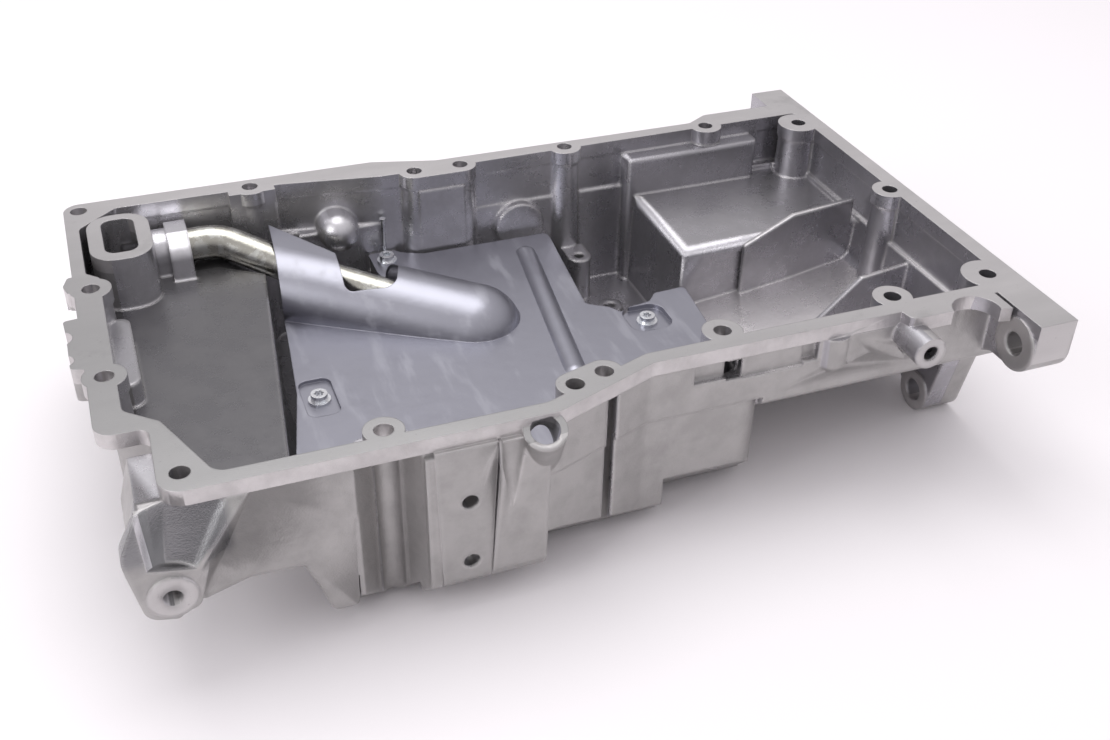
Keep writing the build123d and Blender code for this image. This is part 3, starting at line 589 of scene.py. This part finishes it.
    def inside_mask(self, graph: Graph, at: Surface) -> Socket:
        """Where the surface faces into the pan.

        Args:
            graph: The material's graph.
            at: The surface.

        Returns:
            The mask.
        """
        to_x = graph.math("SUBTRACT", self.middle[0], at.x)
        to_y = graph.math("SUBTRACT", self.middle[1], at.y)
        turned = graph.math("ADD", graph.both(to_x, at.facing_x), graph.both(to_y, at.facing_y))
        walls = graph.step(turned, *self.facing_middle)
        floors = graph.within((at.facing_z, self.facing_up), (at.y, self.past_front_wall))
        well = graph.within((at.x, self.well_left), (at.x, self.well_right),
                            (at.y, self.well_front), (at.y, self.well_back))
        return graph.both(graph.either(walls, floors, well), graph.step(at.facing_z, *self.not_under))

    def bowl_mask(self, graph: Graph, at: Surface) -> Socket:
        """Where the bracket's hollow is.

        Args:
            graph: The material's graph.
            at: The surface.

        Returns:
            The mask.
        """
        return graph.within((at.x, self.bowl_right), (at.y, self.bowl_front), (at.y, self.bowl_back),
                            (at.z, self.bowl_foot), (at.z, self.bowl_top))

    def inner_colour(self, graph: Graph, at: Surface) -> Socket:
        """Colour inside the pan, painted light and shade: lighter walls, darker deep walls on the right,
        darker floors, a darker shelf and a lighter trough floor.

        Args:
            graph: The material's graph.
            at: The surface.

        Returns:
            The colour.
        """
        # painted shade: the inner floors are darker than the walls
        floor = graph.within((at.facing_z, self.level), (at.z, self.below_rail))
        # painted shade: the left shelf floor is darkest
        shelf_painted_shade = graph.both(floor, graph.step(at.x, *self.shelf_side))
        # painted light and reflection: the trough floor is lighter
        trough_painted_light = graph.both(floor, graph.within((at.x, self.trough_left), (at.y, self.trough_back)))
        # painted shade on the deep walls to the right, painted light on the other inner walls
        colour = graph.mix_colour(graph.step(at.x, *self.deep_side), self.inside, self.deep_painted_shade)
        for mask, skin in ((floor, self.landing), (shelf_painted_shade, self.shelf_painted_shade), (trough_painted_light, self.trough_painted_light)):
            colour = graph.mix_colour(mask, colour, skin)
        return colour

    def bright_colour(self, graph: Graph, at: Surface, marks: Node, grime: Node) -> Socket:
        """Colour of the machined faces, darker towards the front left and lighter towards the back right as
        painted shade and light, with the bracket boss's face kept lighter, and with wear and specks.

        Args:
            graph: The material's graph.
            at: The surface.
            marks: The tool marks.
            grime: The grime.

        Returns:
            The colour.
        """
        # painted light and shade: machined faces darken towards the front left, except the bracket boss's
        # face
        boss = graph.both(graph.step(at.y, *self.bracket_boss), self.boss_share)
        painted_lit = graph.step(graph.math("MULTIPLY_ADD", at.x, self.painted_light_slope, at.y), *self.painted_light_span)
        colour = graph.mix_colour(graph.either(painted_lit, boss), self.machined_painted_shade, self.machined)
        worn = graph.either(graph.both(marks.outputs["Streak"], self.streak_share),
                            graph.both(grime.outputs["Speck"], self.speck_share),
                            graph.both(grime.outputs["Stain"], self.smear_share))
        return graph.mix_colour(worn, colour, darker(self.machined_painted_shade, self.worn_tone))

    def build(self) -> bpy.types.Material:
        """Makes the material.

        Returns:
            The material.
        """
        material, graph, shader = self.start()
        at = Surface.read(graph)
        machined = self.machined_mask(graph, at)
        inside = self.inside_mask(graph, at)
        bowl = self.bowl_mask(graph, at)
        skin = self.effect(graph, Effect.CAST_SKIN, Grain=1.0, Flow=1.0)
        marks = self.effect(graph, Effect.TOOL_MARKS, Pitch=self.mill_pitch)
        grime = self.effect(graph, Effect.GRIME, Amount=1.0)
        edge = self.effect(graph, Effect.SOFT_EDGE)
        near_rail = graph.step(at.z, *self.rail_band)
        graph.feed(edge.inputs["Radius"], graph.mix_value(near_rail, self.wide_edge, self.crisp_edge))

        mottle = skin.outputs["Mottle"]
        outer = graph.mix_colour(near_rail, self.colour, self.rail_side)
        # painted shade: the bracket's hollow takes the darker bowl colour
        outer = graph.mix_colour(bowl, outer, self.bowl)
        # painted light and shade: inside the pan the surface takes the lit and shaded tones of inner_colour
        body = graph.mix_colour(inside, outer, self.inner_colour(graph, at))
        mottled = graph.both(mottle, self.mottle_share)
        body = graph.mix_colour(mottled, body, darker(self.colour, self.mottle_tone))
        stain = graph.both(grime.outputs["Stain"], self.stain_share)
        body = graph.mix_colour(stain, body, darker(self.colour, self.stain_tone))
        # painted highlight, with some wear: a lighter colour along the sharp edges
        body = graph.mix_colour(graph.both(edge.outputs["Edge"], self.edge_highlight_share), body, self.edge_highlight_and_wear)
        bright = self.bright_colour(graph, at, marks, grime)
        graph.feed(shader.inputs["Base Color"], graph.mix_colour(machined, body, bright))

        outer = graph.math("MULTIPLY_ADD", mottle, self.rougher, self.roughness)
        inner = graph.math("MULTIPLY_ADD", mottle, self.inside_rougher, self.inside_roughness)
        rough = graph.mix_value(inside, outer, inner)
        rough = graph.mix_value(bowl, rough, self.bowl_roughness)
        graph.feed(shader.inputs["Roughness"], graph.mix_value(machined, rough, self.machined_roughness))

        grain = graph.mix_value(inside, self.outer_grain, self.inner_grain)
        cast = graph.both(skin.outputs["Height"], grain)
        height = graph.mix_value(machined, cast, graph.both(marks.outputs["Height"], self.mill_marks))
        self.bump(graph, shader, height, self.skin_depth, edge.outputs["Normal"])
        return material


@dataclass(frozen=True)
class SheetFinish(Finish):
    """Cold rolled sheet with a satin plating and faint rub marks."""

    rub: Colour = (0.46, 0.46, 0.50)
    rub_scale: float = 130.0
    rub_stretch: Place = (1.0, 0.16, 1.0)
    rub_span: Span = (0.52, 0.70)
    rub_share: float = 0.35
    rougher: float = 0.12
    stain_share: float = 0.3
    stain_tone: float = 0.6
    grain: float = 60.0
    grain_depth: float = 0.0002
    edge_radius: float = 0.0008

    def build(self) -> bpy.types.Material:
        """Makes the material.

        Returns:
            The material.
        """
        material, graph, shader = self.start()
        edge = self.effect(graph, Effect.SOFT_EDGE, Radius=self.edge_radius)
        grime = self.effect(graph, Effect.GRIME, Amount=0.6)
        streak = graph.noise(self.rub_scale, 5.0, self.rub_stretch, 0.6)
        rub = graph.step(streak, *self.rub_span)
        colour = graph.mix_colour(graph.both(rub, self.rub_share), self.colour, self.rub)
        stain = graph.both(grime.outputs["Stain"], self.stain_share)
        colour = graph.mix_colour(stain, colour, darker(self.colour, self.stain_tone))
        graph.feed(shader.inputs["Base Color"], colour)
        graph.feed(shader.inputs["Roughness"], graph.math("MULTIPLY_ADD", rub, self.rougher, self.roughness))
        self.bump(graph, shader, graph.noise(self.grain, 3.0), self.grain_depth, edge.outputs["Normal"])
        return material


@dataclass(frozen=True)
class PlatedFinish(Finish):
    """Zinc plating: bright, slightly blotched, with a second tone in patches."""

    patch: Colour = (0.70, 0.70, 0.72)
    grain: float = 500.0
    grain_depth: float = 0.0001
    blotch_size: float = 0.3
    blotch: Span = (0.42, 0.62)
    rougher: float = 0.10
    edge_radius: float = 0.0004

    def build(self) -> bpy.types.Material:
        """Makes the material.

        Returns:
            The material.
        """
        material, graph, shader = self.start()
        edge = self.effect(graph, Effect.SOFT_EDGE, Radius=self.edge_radius)
        blotch = graph.step(graph.noise(self.grain * self.blotch_size, 4.0), *self.blotch)
        graph.feed(shader.inputs["Base Color"], graph.mix_colour(blotch, self.colour, self.patch))
        rough = graph.math("MULTIPLY_ADD", blotch, self.rougher, self.roughness)
        graph.feed(shader.inputs["Roughness"], rough)
        self.bump(graph, shader, graph.noise(self.grain, 3.0), self.grain_depth, edge.outputs["Normal"])
        return material


@dataclass(frozen=True)
class RubberFinish(Finish):
    """Matt black seal rubber with a faint bloom."""

    bloom: Colour = (0.09, 0.09, 0.09)
    haze_scale: float = 300.0
    haze: Span = (0.45, 0.7)
    grain: float = 1500.0
    grain_depth: float = 0.0001

    def build(self) -> bpy.types.Material:
        """Makes the material.

        Returns:
            The material.
        """
        material, graph, shader = self.start()
        haze = graph.step(graph.noise(self.haze_scale, 4.0), *self.haze)
        graph.feed(shader.inputs["Base Color"], graph.mix_colour(haze, self.colour, self.bloom))
        self.bump(graph, shader, graph.noise(self.grain, 2.0), self.grain_depth)
        return material


Finished = tuple[tuple[Finish, tuple[str, ...]], ...]


@dataclass
class Assembly:
    """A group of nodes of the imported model, with the finish that each of them gets."""

    nodes: dict[str, Object]
    finished: Finished = ()

    def build(self) -> None:
        """Gives every node its material."""
        for finish, names in self.finished:
            material = finish.build()
            for name in names:
                mesh = self.nodes[name].data
                mesh.materials.clear()
                mesh.materials.append(material)
                LOG.info("dressed %s with %s", name, material.name)


class Operation(Enum):
    """What a tool does to the casting."""

    ADD = "UNION"
    CUT = "DIFFERENCE"


class Axis(Enum):
    """Directions that a profile is drawn out along, as the order of its own axes in the frame."""

    X = (1, 2, 0)
    Y = (0, 2, 1)


class Stock:
    """Closed meshes, in millimetres, that are added to the casting or cut from it."""

    def __init__(self) -> None:
        """Starts with nothing in the mesh."""
        self.bm = bmesh.new()

    @staticmethod
    def rounded(corners: tuple[Corner, ...]) -> list[Point]:
        """Outline through corners, each rounded by its radius.

        Args:
            corners: Places and radii, as (u, v, radius).

        Returns:
            Points round the outline.
        """
        points = []
        neighbours = zip(corners[-1:] + corners[:-1], corners, corners[1:] + corners[:1])
        for before, (u, v, radius), after in neighbours:
            if radius == 0:
                points.append((u, v))
                continue
            here = Vector((u, v))
            back, ahead = (Vector(before[:2]) - here).normalized(), (Vector(after[:2]) - here).normalized()
            half = back.angle(ahead) / 2
            middle = here + (back + ahead).normalized() * (radius / math.sin(half))
            reach = radius / math.tan(half)
            start, end = here + back * reach - middle, here + ahead * reach - middle
            turn = start.angle_signed(end)
            for i in range(CORNER_STEPS + 1):
                spoke = Matrix.Rotation(-turn * i / CORNER_STEPS, 2) @ start
                points.append(tuple(middle + spoke))
        return points

    def prism(self, points: list[Point], axis: Axis, low: float, high: float) -> "Stock":
        """Draws a profile out along an axis.

        Args:
            points: The profile, in the two other axes.
            axis: Which way it is drawn out.
            low: Where it starts.
            high: Where it ends.

        Returns:
            The stock itself.
        """
        rings = []
        for level in (low, high):
            ring = []
            for u, v in points:
                place = [0.0, 0.0, 0.0]
                for index, value in zip(axis.value, (u, v, level)):
                    place[index] = value
                ring.append(self.bm.verts.new(place))
            rings.append(ring)
            self.bm.faces.new(ring)
        first, second = rings
        for i, vertex in enumerate(first):
            j = (i + 1) % len(first)
            self.bm.faces.new((vertex, first[j], second[j], second[i]))
        return self

    def ball(self, centre: Place, radius: float) -> "Stock":
        """Adds a ball.

        Args:
            centre: Its middle.
            radius: Its radius.

        Returns:
            The stock itself.
        """
        bmesh.ops.create_uvsphere(self.bm, u_segments=ROUND_SIDES, v_segments=ROUND_SIDES // 2, radius=radius,
                                  matrix=Matrix.Translation(centre))
        return self

    def rod(self, place: Matrix, low_radius: float, high_radius: float, length: float) -> "Stock":
        """Adds a round bar or cone about the middle of its own Z.

        Args:
            place: Where it stands.
            low_radius: Radius at its low end.
            high_radius: Radius at its high end.
            length: Its length.

        Returns:
            The stock itself.
        """
        bmesh.ops.create_cone(self.bm, cap_ends=True, segments=ROUND_SIDES, radius1=low_radius,
                              radius2=high_radius, depth=length, matrix=place)
        return self

    def keep(self, place: Place, towards: Place) -> "Stock":
        """Cuts everything off that lies past a plane.

        Args:
            place: A place on the plane.
            towards: Which way is past it.

        Returns:
            The stock itself.
        """
        geometry = self.bm.verts[:] + self.bm.edges[:] + self.bm.faces[:]
        cut = bmesh.ops.bisect_plane(self.bm, geom=geometry, dist=ON_PLANE, plane_co=place, plane_no=towards,
                                     clear_outer=True)
        edges = [item for item in cut["geom_cut"] if isinstance(item, bmesh.types.BMEdge)]
        bmesh.ops.contextual_create(self.bm, geom=edges)
        return self

    def lean(self, rise: float, level_y: float) -> "Stock":
        """Raises the mesh towards the front.

        Args:
            rise: How much it rises for each step forward.
            level_y: Where it keeps its height.

        Returns:
            The stock itself.
        """
        for vertex in self.bm.verts:
            vertex.co.z += rise * (level_y - vertex.co.y)
        return self

    def finish(self, name: str) -> Object:
        """Makes an object of it, in metres.

        Args:
            name: The object's name.

        Returns:
            The object, linked to the scene.
        """
        bmesh.ops.recalc_face_normals(self.bm, faces=self.bm.faces[:])
        bmesh.ops.scale(self.bm, vec=(MM, MM, MM), verts=self.bm.verts[:])
        mesh = bpy.data.meshes.new(name)
        self.bm.to_mesh(mesh)
        self.bm.free()
        return new_object(name, mesh)


@dataclass(frozen=True)
class CastingForm:
    """Forms of the casting that its solid has plainer, in millimetres.

    The bracket's arm with its bowl, the foot's round end, the flute of the column block, the
    rounded edges of the landing and of the ledge, and the round boss and rim beside the lug.
    The lengths weld and same_corner are metres, and sharp_angle is degrees.
    """

    under_rail_z: float = 98.0
    arm: tuple[Corner, ...] = ((-168, 98.05, 0), (-182, 70, 20), (-192.5, 46, 6), (-207, 42.8, 8),
                               (-219.5, 45.8, 8), (-225.5, 80, 12), (-216, 98.05, 0))
    arm_y: Span = (-150.6, -140.5)
    arm_lean_z: float = 72.0
    arm_top_y: float = -144.5
    ridge_top: Place = (-168.0, -142.9, 98.0)
    ridge_slope: Place = (0.518, -0.729, -0.259)
    filler: tuple[Corner, ...] = ((-214, 77, 0), (-192, 77, 0), (-192, 98.05, 0), (-214, 98.05, 0))
    filler_y: Span = (-143.0, -137.0)
    bore_at: Place = (-207.4, -149.0, 56.5)
    bore_radius: float = 4.3
    bore_length: float = 22.0
    bowl_low: Place = (-206.0, -159.0, 69.0)
    bowl_high: Place = (-199.5, -164.8, 100.0)
    bowl_radii: Span = (13.5, 30.0)
    landing: Place = (111.7, 21.5, 72.0)
    landing_end: Point = (180.0, 92.0)
    landing_radius: float = 6.0
    ledge: Place = (107.0, 96.0, 96.5)
    ledge_end: Point = (197.0, 107.9)
    ledge_radius: float = 3.0
    before_corner: float = 0.9
    foot: tuple[Corner, ...] = ((-160, -10, 0), (-160, 29, 0), (-144.6, 29, 0), (-139.2, 9.6, 8),
                                (-127.2, 9.6, 6), (-126.7, 29, 0), (-126.2, 29, 0), (-126.2, -10, 0))
    foot_y: Span = (-146.0, -121.3)
    foot_lean: float = 0.6
    foot_level_y: float = -133.0
    foot_slope: tuple[Corner, ...] = ((-200, -40, 0), (-118, -40, 0), (-132, 9, 0), (-138, 12, 5),
                                      (-143.5, 18.5, 0), (-200, 18.5, 0))
    foot_slope_x: Span = (-160.0, -126.1)
    flute_at: Place = (-54.0, -148.0, 75.5)
    flute_radii: Span = (0.3, 7.0)
    flute_length: float = 43.0
    rim_line: tuple[Corner, ...] = ((127, 98, 0), (134, 80, 0), (139, 83, 3), (147, 85.5, 12), (168, 76, 0),
                                    (170, 98, 0))
    rim_y: Span = (-123.7, -118.0)
    round_boss: Place = (126.5, -118.0, 84.0)
    round_boss_radius: float = 8.5
    weld: float = 1e-6
    sharp_angle: float = 24.0
    same_corner: float = 3e-6
    same_way: float = 0.9995

    def bracket(self) -> list[Object]:
        """Arm of the bracket, outside the pan's wall, and what fills the plain hollow behind it.

        Returns:
            The pieces, ready to be added.
        """
        front_y = self.arm_y[0]
        arm = Stock().prism(Stock.rounded(self.arm), Axis.Y, *self.arm_y)
        lean = (0.0, self.arm_lean_z - self.under_rail_z, self.arm_top_y - front_y)
        arm.keep((0.0, front_y, self.arm_lean_z), lean)
        arm.keep(self.ridge_top, self.ridge_slope)
        return [Stock().prism(Stock.rounded(self.filler), Axis.Y, *self.filler_y).finish("filler"),
                arm.finish("bracket_arm")]

    def bowl(self) -> Object:
        """Hollow of the bracket, wider towards the rail.

        Returns:
            The hollow, ready to be cut.
        """
        low, high = Vector(self.bowl_low), Vector(self.bowl_high)
        along = high - low
        place = Matrix.Translation((low + high) / 2) @ along.to_track_quat("Z", "Y").to_matrix().to_4x4()
        return (Stock().rod(place, *self.bowl_radii, along.length)
                .keep((0.0, 0.0, self.under_rail_z + 0.1), (0.0, 0.0, 1.0)).finish("bowl"))

    def bore(self) -> Object:
        """Hole of the bracket, ready to be cut."""
        place = Matrix.Translation(self.bore_at) @ Matrix.Rotation(math.pi / 2, 4, "X")
        return Stock().rod(place, self.bore_radius, self.bore_radius, self.bore_length).finish("bracket_bore")

    def round_off(self, corner: Point, radius: float) -> list[Point]:
        """Profile that rounds a corner whose material lies to its right and below it.

        Args:
            corner: The corner.
            radius: Its new radius.

        Returns:
            The profile.
        """
        u, v = corner
        arc = [(u + radius * (1 - math.sin(math.radians(a))), v - radius * (1 - math.cos(math.radians(a))))
               for a in QUARTER_TURN]
        return [(u - 1, v + 1), (u + radius, v + 1)] + arc + [(u - 1, v - radius)]

    def edge_cuts(self) -> list[Object]:
        """Cuts that round the edges of the landing and of the ledge.

        Returns:
            The cuts, in order.
        """
        steps = (("landing", self.landing, self.landing_end, self.landing_radius),
                 ("ledge", self.ledge, self.ledge_end, self.ledge_radius))
        fronts = [Stock().prism(self.round_off((y, z), radius), Axis.X, x - self.before_corner, end[0])
                  .finish(f"{name}_front") for name, (x, y, z), end, radius in steps]
        sides = [Stock().prism(self.round_off((x, z), radius), Axis.Y, y - self.before_corner, end[1])
                 .finish(f"{name}_side") for name, (x, y, z), end, radius in steps]
        return fronts + sides

    def front_cuts(self) -> list[Object]:
        """Cuts that shape the foot and the column block.

        Returns:
            The cuts, in order.
        """
        end = Stock().prism(Stock.rounded(self.foot), Axis.Y, *self.foot_y)
        end.lean(self.foot_lean, self.foot_level_y)
        slope = Stock().prism(Stock.rounded(self.foot_slope), Axis.X, *self.foot_slope_x)
        flute = Stock().rod(Matrix.Translation(self.flute_at), *self.flute_radii, self.flute_length)
        return [end.finish("foot_end"), slope.finish("foot_slope"), flute.finish("block_flute")]

    def rim(self) -> Object:
        """Arched rim under the front rail, ready to be added."""
        return Stock().prism(Stock.rounded(self.rim_line), Axis.Y, *self.rim_y).finish("rim")

    def round_end(self) -> Object:
        """Round lower end of the boss beside the lug, ready to be added."""
        return Stock().ball(self.round_boss, self.round_boss_radius).finish("round_end")

    def work(self, piece: Object, tool: Object, operation: Operation) -> None:
        """Adds a tool to the piece or cuts it from the piece.

        Args:
            piece: The casting's copy.
            tool: The mesh that is added or cut, which is deleted.
            operation: Whether it is added or cut.
        """
        modifier = piece.modifiers.new(tool.name, "BOOLEAN")
        modifier.operation, modifier.solver, modifier.object = operation.value, "EXACT", tool
        shaped = bpy.data.meshes.new_from_object(piece.evaluated_get(bpy.context.evaluated_depsgraph_get()))
        piece.modifiers.clear()
        old, piece.data = piece.data, shaped
        bpy.data.meshes.remove(old)
        LOG.info("%s %s: %d faces", operation.value, tool.name, len(shaped.polygons))
        bpy.data.objects.remove(tool)

    def build(self, node: Object) -> Object:
        """Makes the shaped copy that stands for the node.

        Args:
            node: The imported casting.

        Returns:
            The new piece.
        """
        mesh = bpy.data.meshes.new("casting_body")
        bm = bmesh.new()
        bm.from_mesh(node.data)
        bmesh.ops.remove_doubles(bm, verts=bm.verts[:], dist=self.weld)
        bm.to_mesh(mesh)
        bm.free()
        piece = new_object("casting_body", mesh)
        for cut in self.edge_cuts() + self.front_cuts():
            self.work(piece, cut, Operation.CUT)
        for stock in [self.rim(), self.round_end(), *self.bracket()]:
            self.work(piece, stock, Operation.ADD)
        for cut in (self.bowl(), self.bore()):
            self.work(piece, cut, Operation.CUT)
        self.tidy(piece.data)
        self.shade(piece.data, node.data)
        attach(piece, Body.ROOT.value)
        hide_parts(node.name)
        return piece

    def tidy(self, mesh: bpy.types.Mesh) -> None:
        """Reports open edges and shades the mesh by its angles.

        Args:
            mesh: The shaped mesh.
        """
        bm = bmesh.new()
        bm.from_mesh(mesh)
        open_edges = sum(1 for edge in bm.edges if not edge.is_manifold)
        LOG.info("casting: %d faces, %d open edges", len(bm.faces), open_edges)
        for face in bm.faces:
            face.smooth = True
        bm.to_mesh(mesh)
        bm.free()
        mesh.set_sharp_from_angle(angle=math.radians(self.sharp_angle))

    def shade(self, mesh: bpy.types.Mesh, packed: bpy.types.Mesh) -> None:
        """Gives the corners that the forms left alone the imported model's normals.

        Args:
            mesh: The shaped mesh.
            packed: The node's mesh.
        """
        tree = KDTree(len(packed.loops))
        known = []
        for face in packed.polygons:
            for index in face.loop_indices:
                tree.insert(packed.vertices[packed.loops[index].vertex_index].co, len(known))
                known.append((face.normal.copy(), packed.corner_normals[index].vector.copy()))
        tree.balance()
        near = [tree.find_range(vertex.co, self.same_corner) for vertex in mesh.vertices]
        normals = [Vector() for _ in mesh.loops]
        for face in mesh.polygons:
            for index in face.loop_indices:
                found = [known[item[1]] for item in near[mesh.loops[index].vertex_index]]
                best = max(found, key=lambda pair: pair[0].dot(face.normal), default=None)
                if best is not None and best[0].dot(face.normal) > self.same_way:
                    normals[index] = best[1]
        mesh.normals_split_custom_set(normals)
        LOG.info("casting: %d of %d corners keep the packed normals",
                 sum(1 for normal in normals if normal.length > 0.5), len(normals))


@dataclass
class Casting(Assembly):
    """The casting itself."""

    finished: Finished = ((CastFinish("cast_aluminium", (0.43, 0.42, 0.415), 0.38, 0.88), ("pan_casting",)),)
    form: CastingForm = CastingForm()

    def build(self) -> None:
        """Dresses the casting, and stands a shaped copy in its place."""
        super().build()
        node = self.nodes["pan_casting"]
        piece = self.form.build(node)
        piece.data.materials.clear()
        piece.data.materials.append(node.data.materials[0])


@dataclass
class Baffle(Assembly):
    """Baffle plate with its screws and pin."""

    finished: Finished = (
        (SheetFinish("baffle_sheet", (0.34, 0.34, 0.385), 0.36), ("baffle_plate",)),
        (PlatedFinish("bright_zinc", (0.80, 0.82, 0.85), 0.2),
         ("left_baffle_screw", "right_baffle_screw", "back_baffle_screw", "locating_pin")))


@dataclass
class Pickup(Assembly):
    """Pickup tube with its seal, bell and screen."""

    finished: Finished = (
        (PlatedFinish("yellow_plating", (0.40, 0.39, 0.35), 0.22, 1.0, (0.52, 0.52, 0.49)),
         ("pickup_tube", "pickup_bell")),
        (RubberFinish("seal_rubber", (0.02, 0.02, 0.02), 0.6, 0.0), ("tube_seal",)),
        (PlatedFinish("screen_wire", (0.55, 0.55, 0.55), 0.35), ("strainer_screen",)))


@dataclass
class Drain(Assembly):
    """Drain plug and its washer."""

    finished: Finished = (
        (PlatedFinish("plug_zinc", (0.72, 0.73, 0.75), 0.28), ("drain_plug",)),
        (PlatedFinish("soft_aluminium", (0.75, 0.74, 0.72), 0.4), ("drain_washer",)))


@dataclass(frozen=True)
class Lamp:
    """A square area lamp that points at the pan."""

    name: str
    place: Place
    size: float
    power: float
    target: Place = (0.0, 0.0, 0.05)

    def build(self) -> None:
        """Makes the lamp."""
        data = bpy.data.lights.new(self.name, "AREA")
        data.size, data.energy = self.size, self.power
        lamp = new_object(self.name, data)
        lamp.location = self.place
        lamp.rotation_mode = "QUATERNION"
        lamp.rotation_quaternion = (Vector(self.target) - Vector(self.place)).to_track_quat("-Z", "Y")


@dataclass
class Studio:
    """Floor, lamps, world and camera, with angles in degrees."""

    camera_place: Place = (-0.200, -0.572, 0.451)
    yaw: float = 21.28213
    elevation: float = 35.04547
    roll: float = -1.17075
    focal_pixels: float = 1288.106
    picture_width: float = 1110.0
    sensor: float = 36.0
    clip: Span = (0.01, 50.0)
    floor_size: float = 8.0
    floor_tint: Colour = (0.93, 0.90, 0.92)
    low_sky: Colour = (0.42, 0.41, 0.43)
    high_sky: Colour = (0.86, 0.84, 0.86)
    sky_rise: Span = (0.05, 0.75)
    lamps: tuple[Lamp, ...] = (Lamp("top_softbox", (-0.1, 0.35, 1.6), 1.2, 11.0),
                               Lamp("left_softbox", (-1.5, -0.5, 1.0), 0.8, 6.0))

    def camera(self) -> None:
        """Makes the camera at the photograph's place."""
        yaw, low, roll = (math.radians(v) for v in (self.yaw, self.elevation, self.roll))
        ahead = Vector((math.sin(yaw) * math.cos(low), math.cos(yaw) * math.cos(low), -math.sin(low)))
        right = Vector((math.cos(yaw), -math.sin(yaw), 0.0))
        down = ahead.cross(right)
        side = right * math.cos(roll) + down * math.sin(roll)
        up = right * math.sin(roll) - down * math.cos(roll)
        data = bpy.data.cameras.new("camera")
        data.sensor_width = self.sensor
        data.lens = self.focal_pixels / self.picture_width * self.sensor
        data.clip_start, data.clip_end = self.clip
        camera = new_object("camera", data)
        turn = Matrix((side, up, -ahead)).transposed().to_4x4()
        camera.matrix_world = Matrix.Translation(self.camera_place) @ turn
        bpy.context.scene.camera = camera

    def floor(self) -> None:
        """Makes the pale floor."""
        half = self.floor_size / 2
        mesh = bpy.data.meshes.new("floor")
        corners = [(-half, -half, 0), (half, -half, 0), (half, half, 0), (-half, half, 0)]
        mesh.from_pydata(corners, [], [(0, 1, 2, 3)])
        floor = new_object("floor", mesh)
        material = bpy.data.materials.new("floor")
        graph = fresh_graph(material)
        diffuse = graph.node("ShaderNodeBsdfDiffuse")
        diffuse.inputs["Color"].default_value = (*self.floor_tint, 1.0)
        end = graph.node("ShaderNodeOutputMaterial")
        graph.feed(end.inputs["Surface"], diffuse.outputs[0])
        mesh.materials.append(material)

    def world(self) -> None:
        """Makes the world, white to the camera and a soft grey dome to everything else."""
        world = bpy.data.worlds.new("world")
        bpy.context.scene.world = world
        graph = fresh_graph(world)
        path = graph.node("ShaderNodeLightPath")
        dome = graph.node("ShaderNodeBackground")
        where = graph.node("ShaderNodeTexCoord")
        split = graph.node("ShaderNodeSeparateXYZ")
        graph.feed(split.inputs[0], where.outputs["Generated"])
        rise = graph.step(split.outputs[2], *self.sky_rise)
        graph.feed(dome.inputs["Color"], graph.mix_colour(rise, self.low_sky, self.high_sky))
        white = graph.node("ShaderNodeBackground")
        white.inputs["Color"].default_value = (1.0, 1.0, 1.0, 1.0)
        mix = graph.node("ShaderNodeMixShader")
        end = graph.node("ShaderNodeOutputWorld")
        graph.feed(mix.inputs[0], path.outputs["Is Camera Ray"])
        graph.feed(mix.inputs[1], dome.outputs[0])
        graph.feed(mix.inputs[2], white.outputs[0])
        graph.feed(end.inputs["Surface"], mix.outputs[0])

    def build(self) -> None:
        """Makes the whole studio."""
        self.camera()
        self.floor()
        self.world()
        for lamp in self.lamps:
            lamp.build()
        bpy.context.scene.view_settings.view_transform = "Standard"


def main(frame: dict) -> None:
    """Builds the looks and the studio.
    """
    logging.basicConfig(level=logging.INFO)
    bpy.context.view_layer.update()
    SharedEffects().build()
    for assembly in (Casting, Baffle, Pickup, Drain):
        assembly(frame["nodes"]).build()
    Studio().build()


if __name__ == "__main__":
    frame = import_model()
    main(frame)
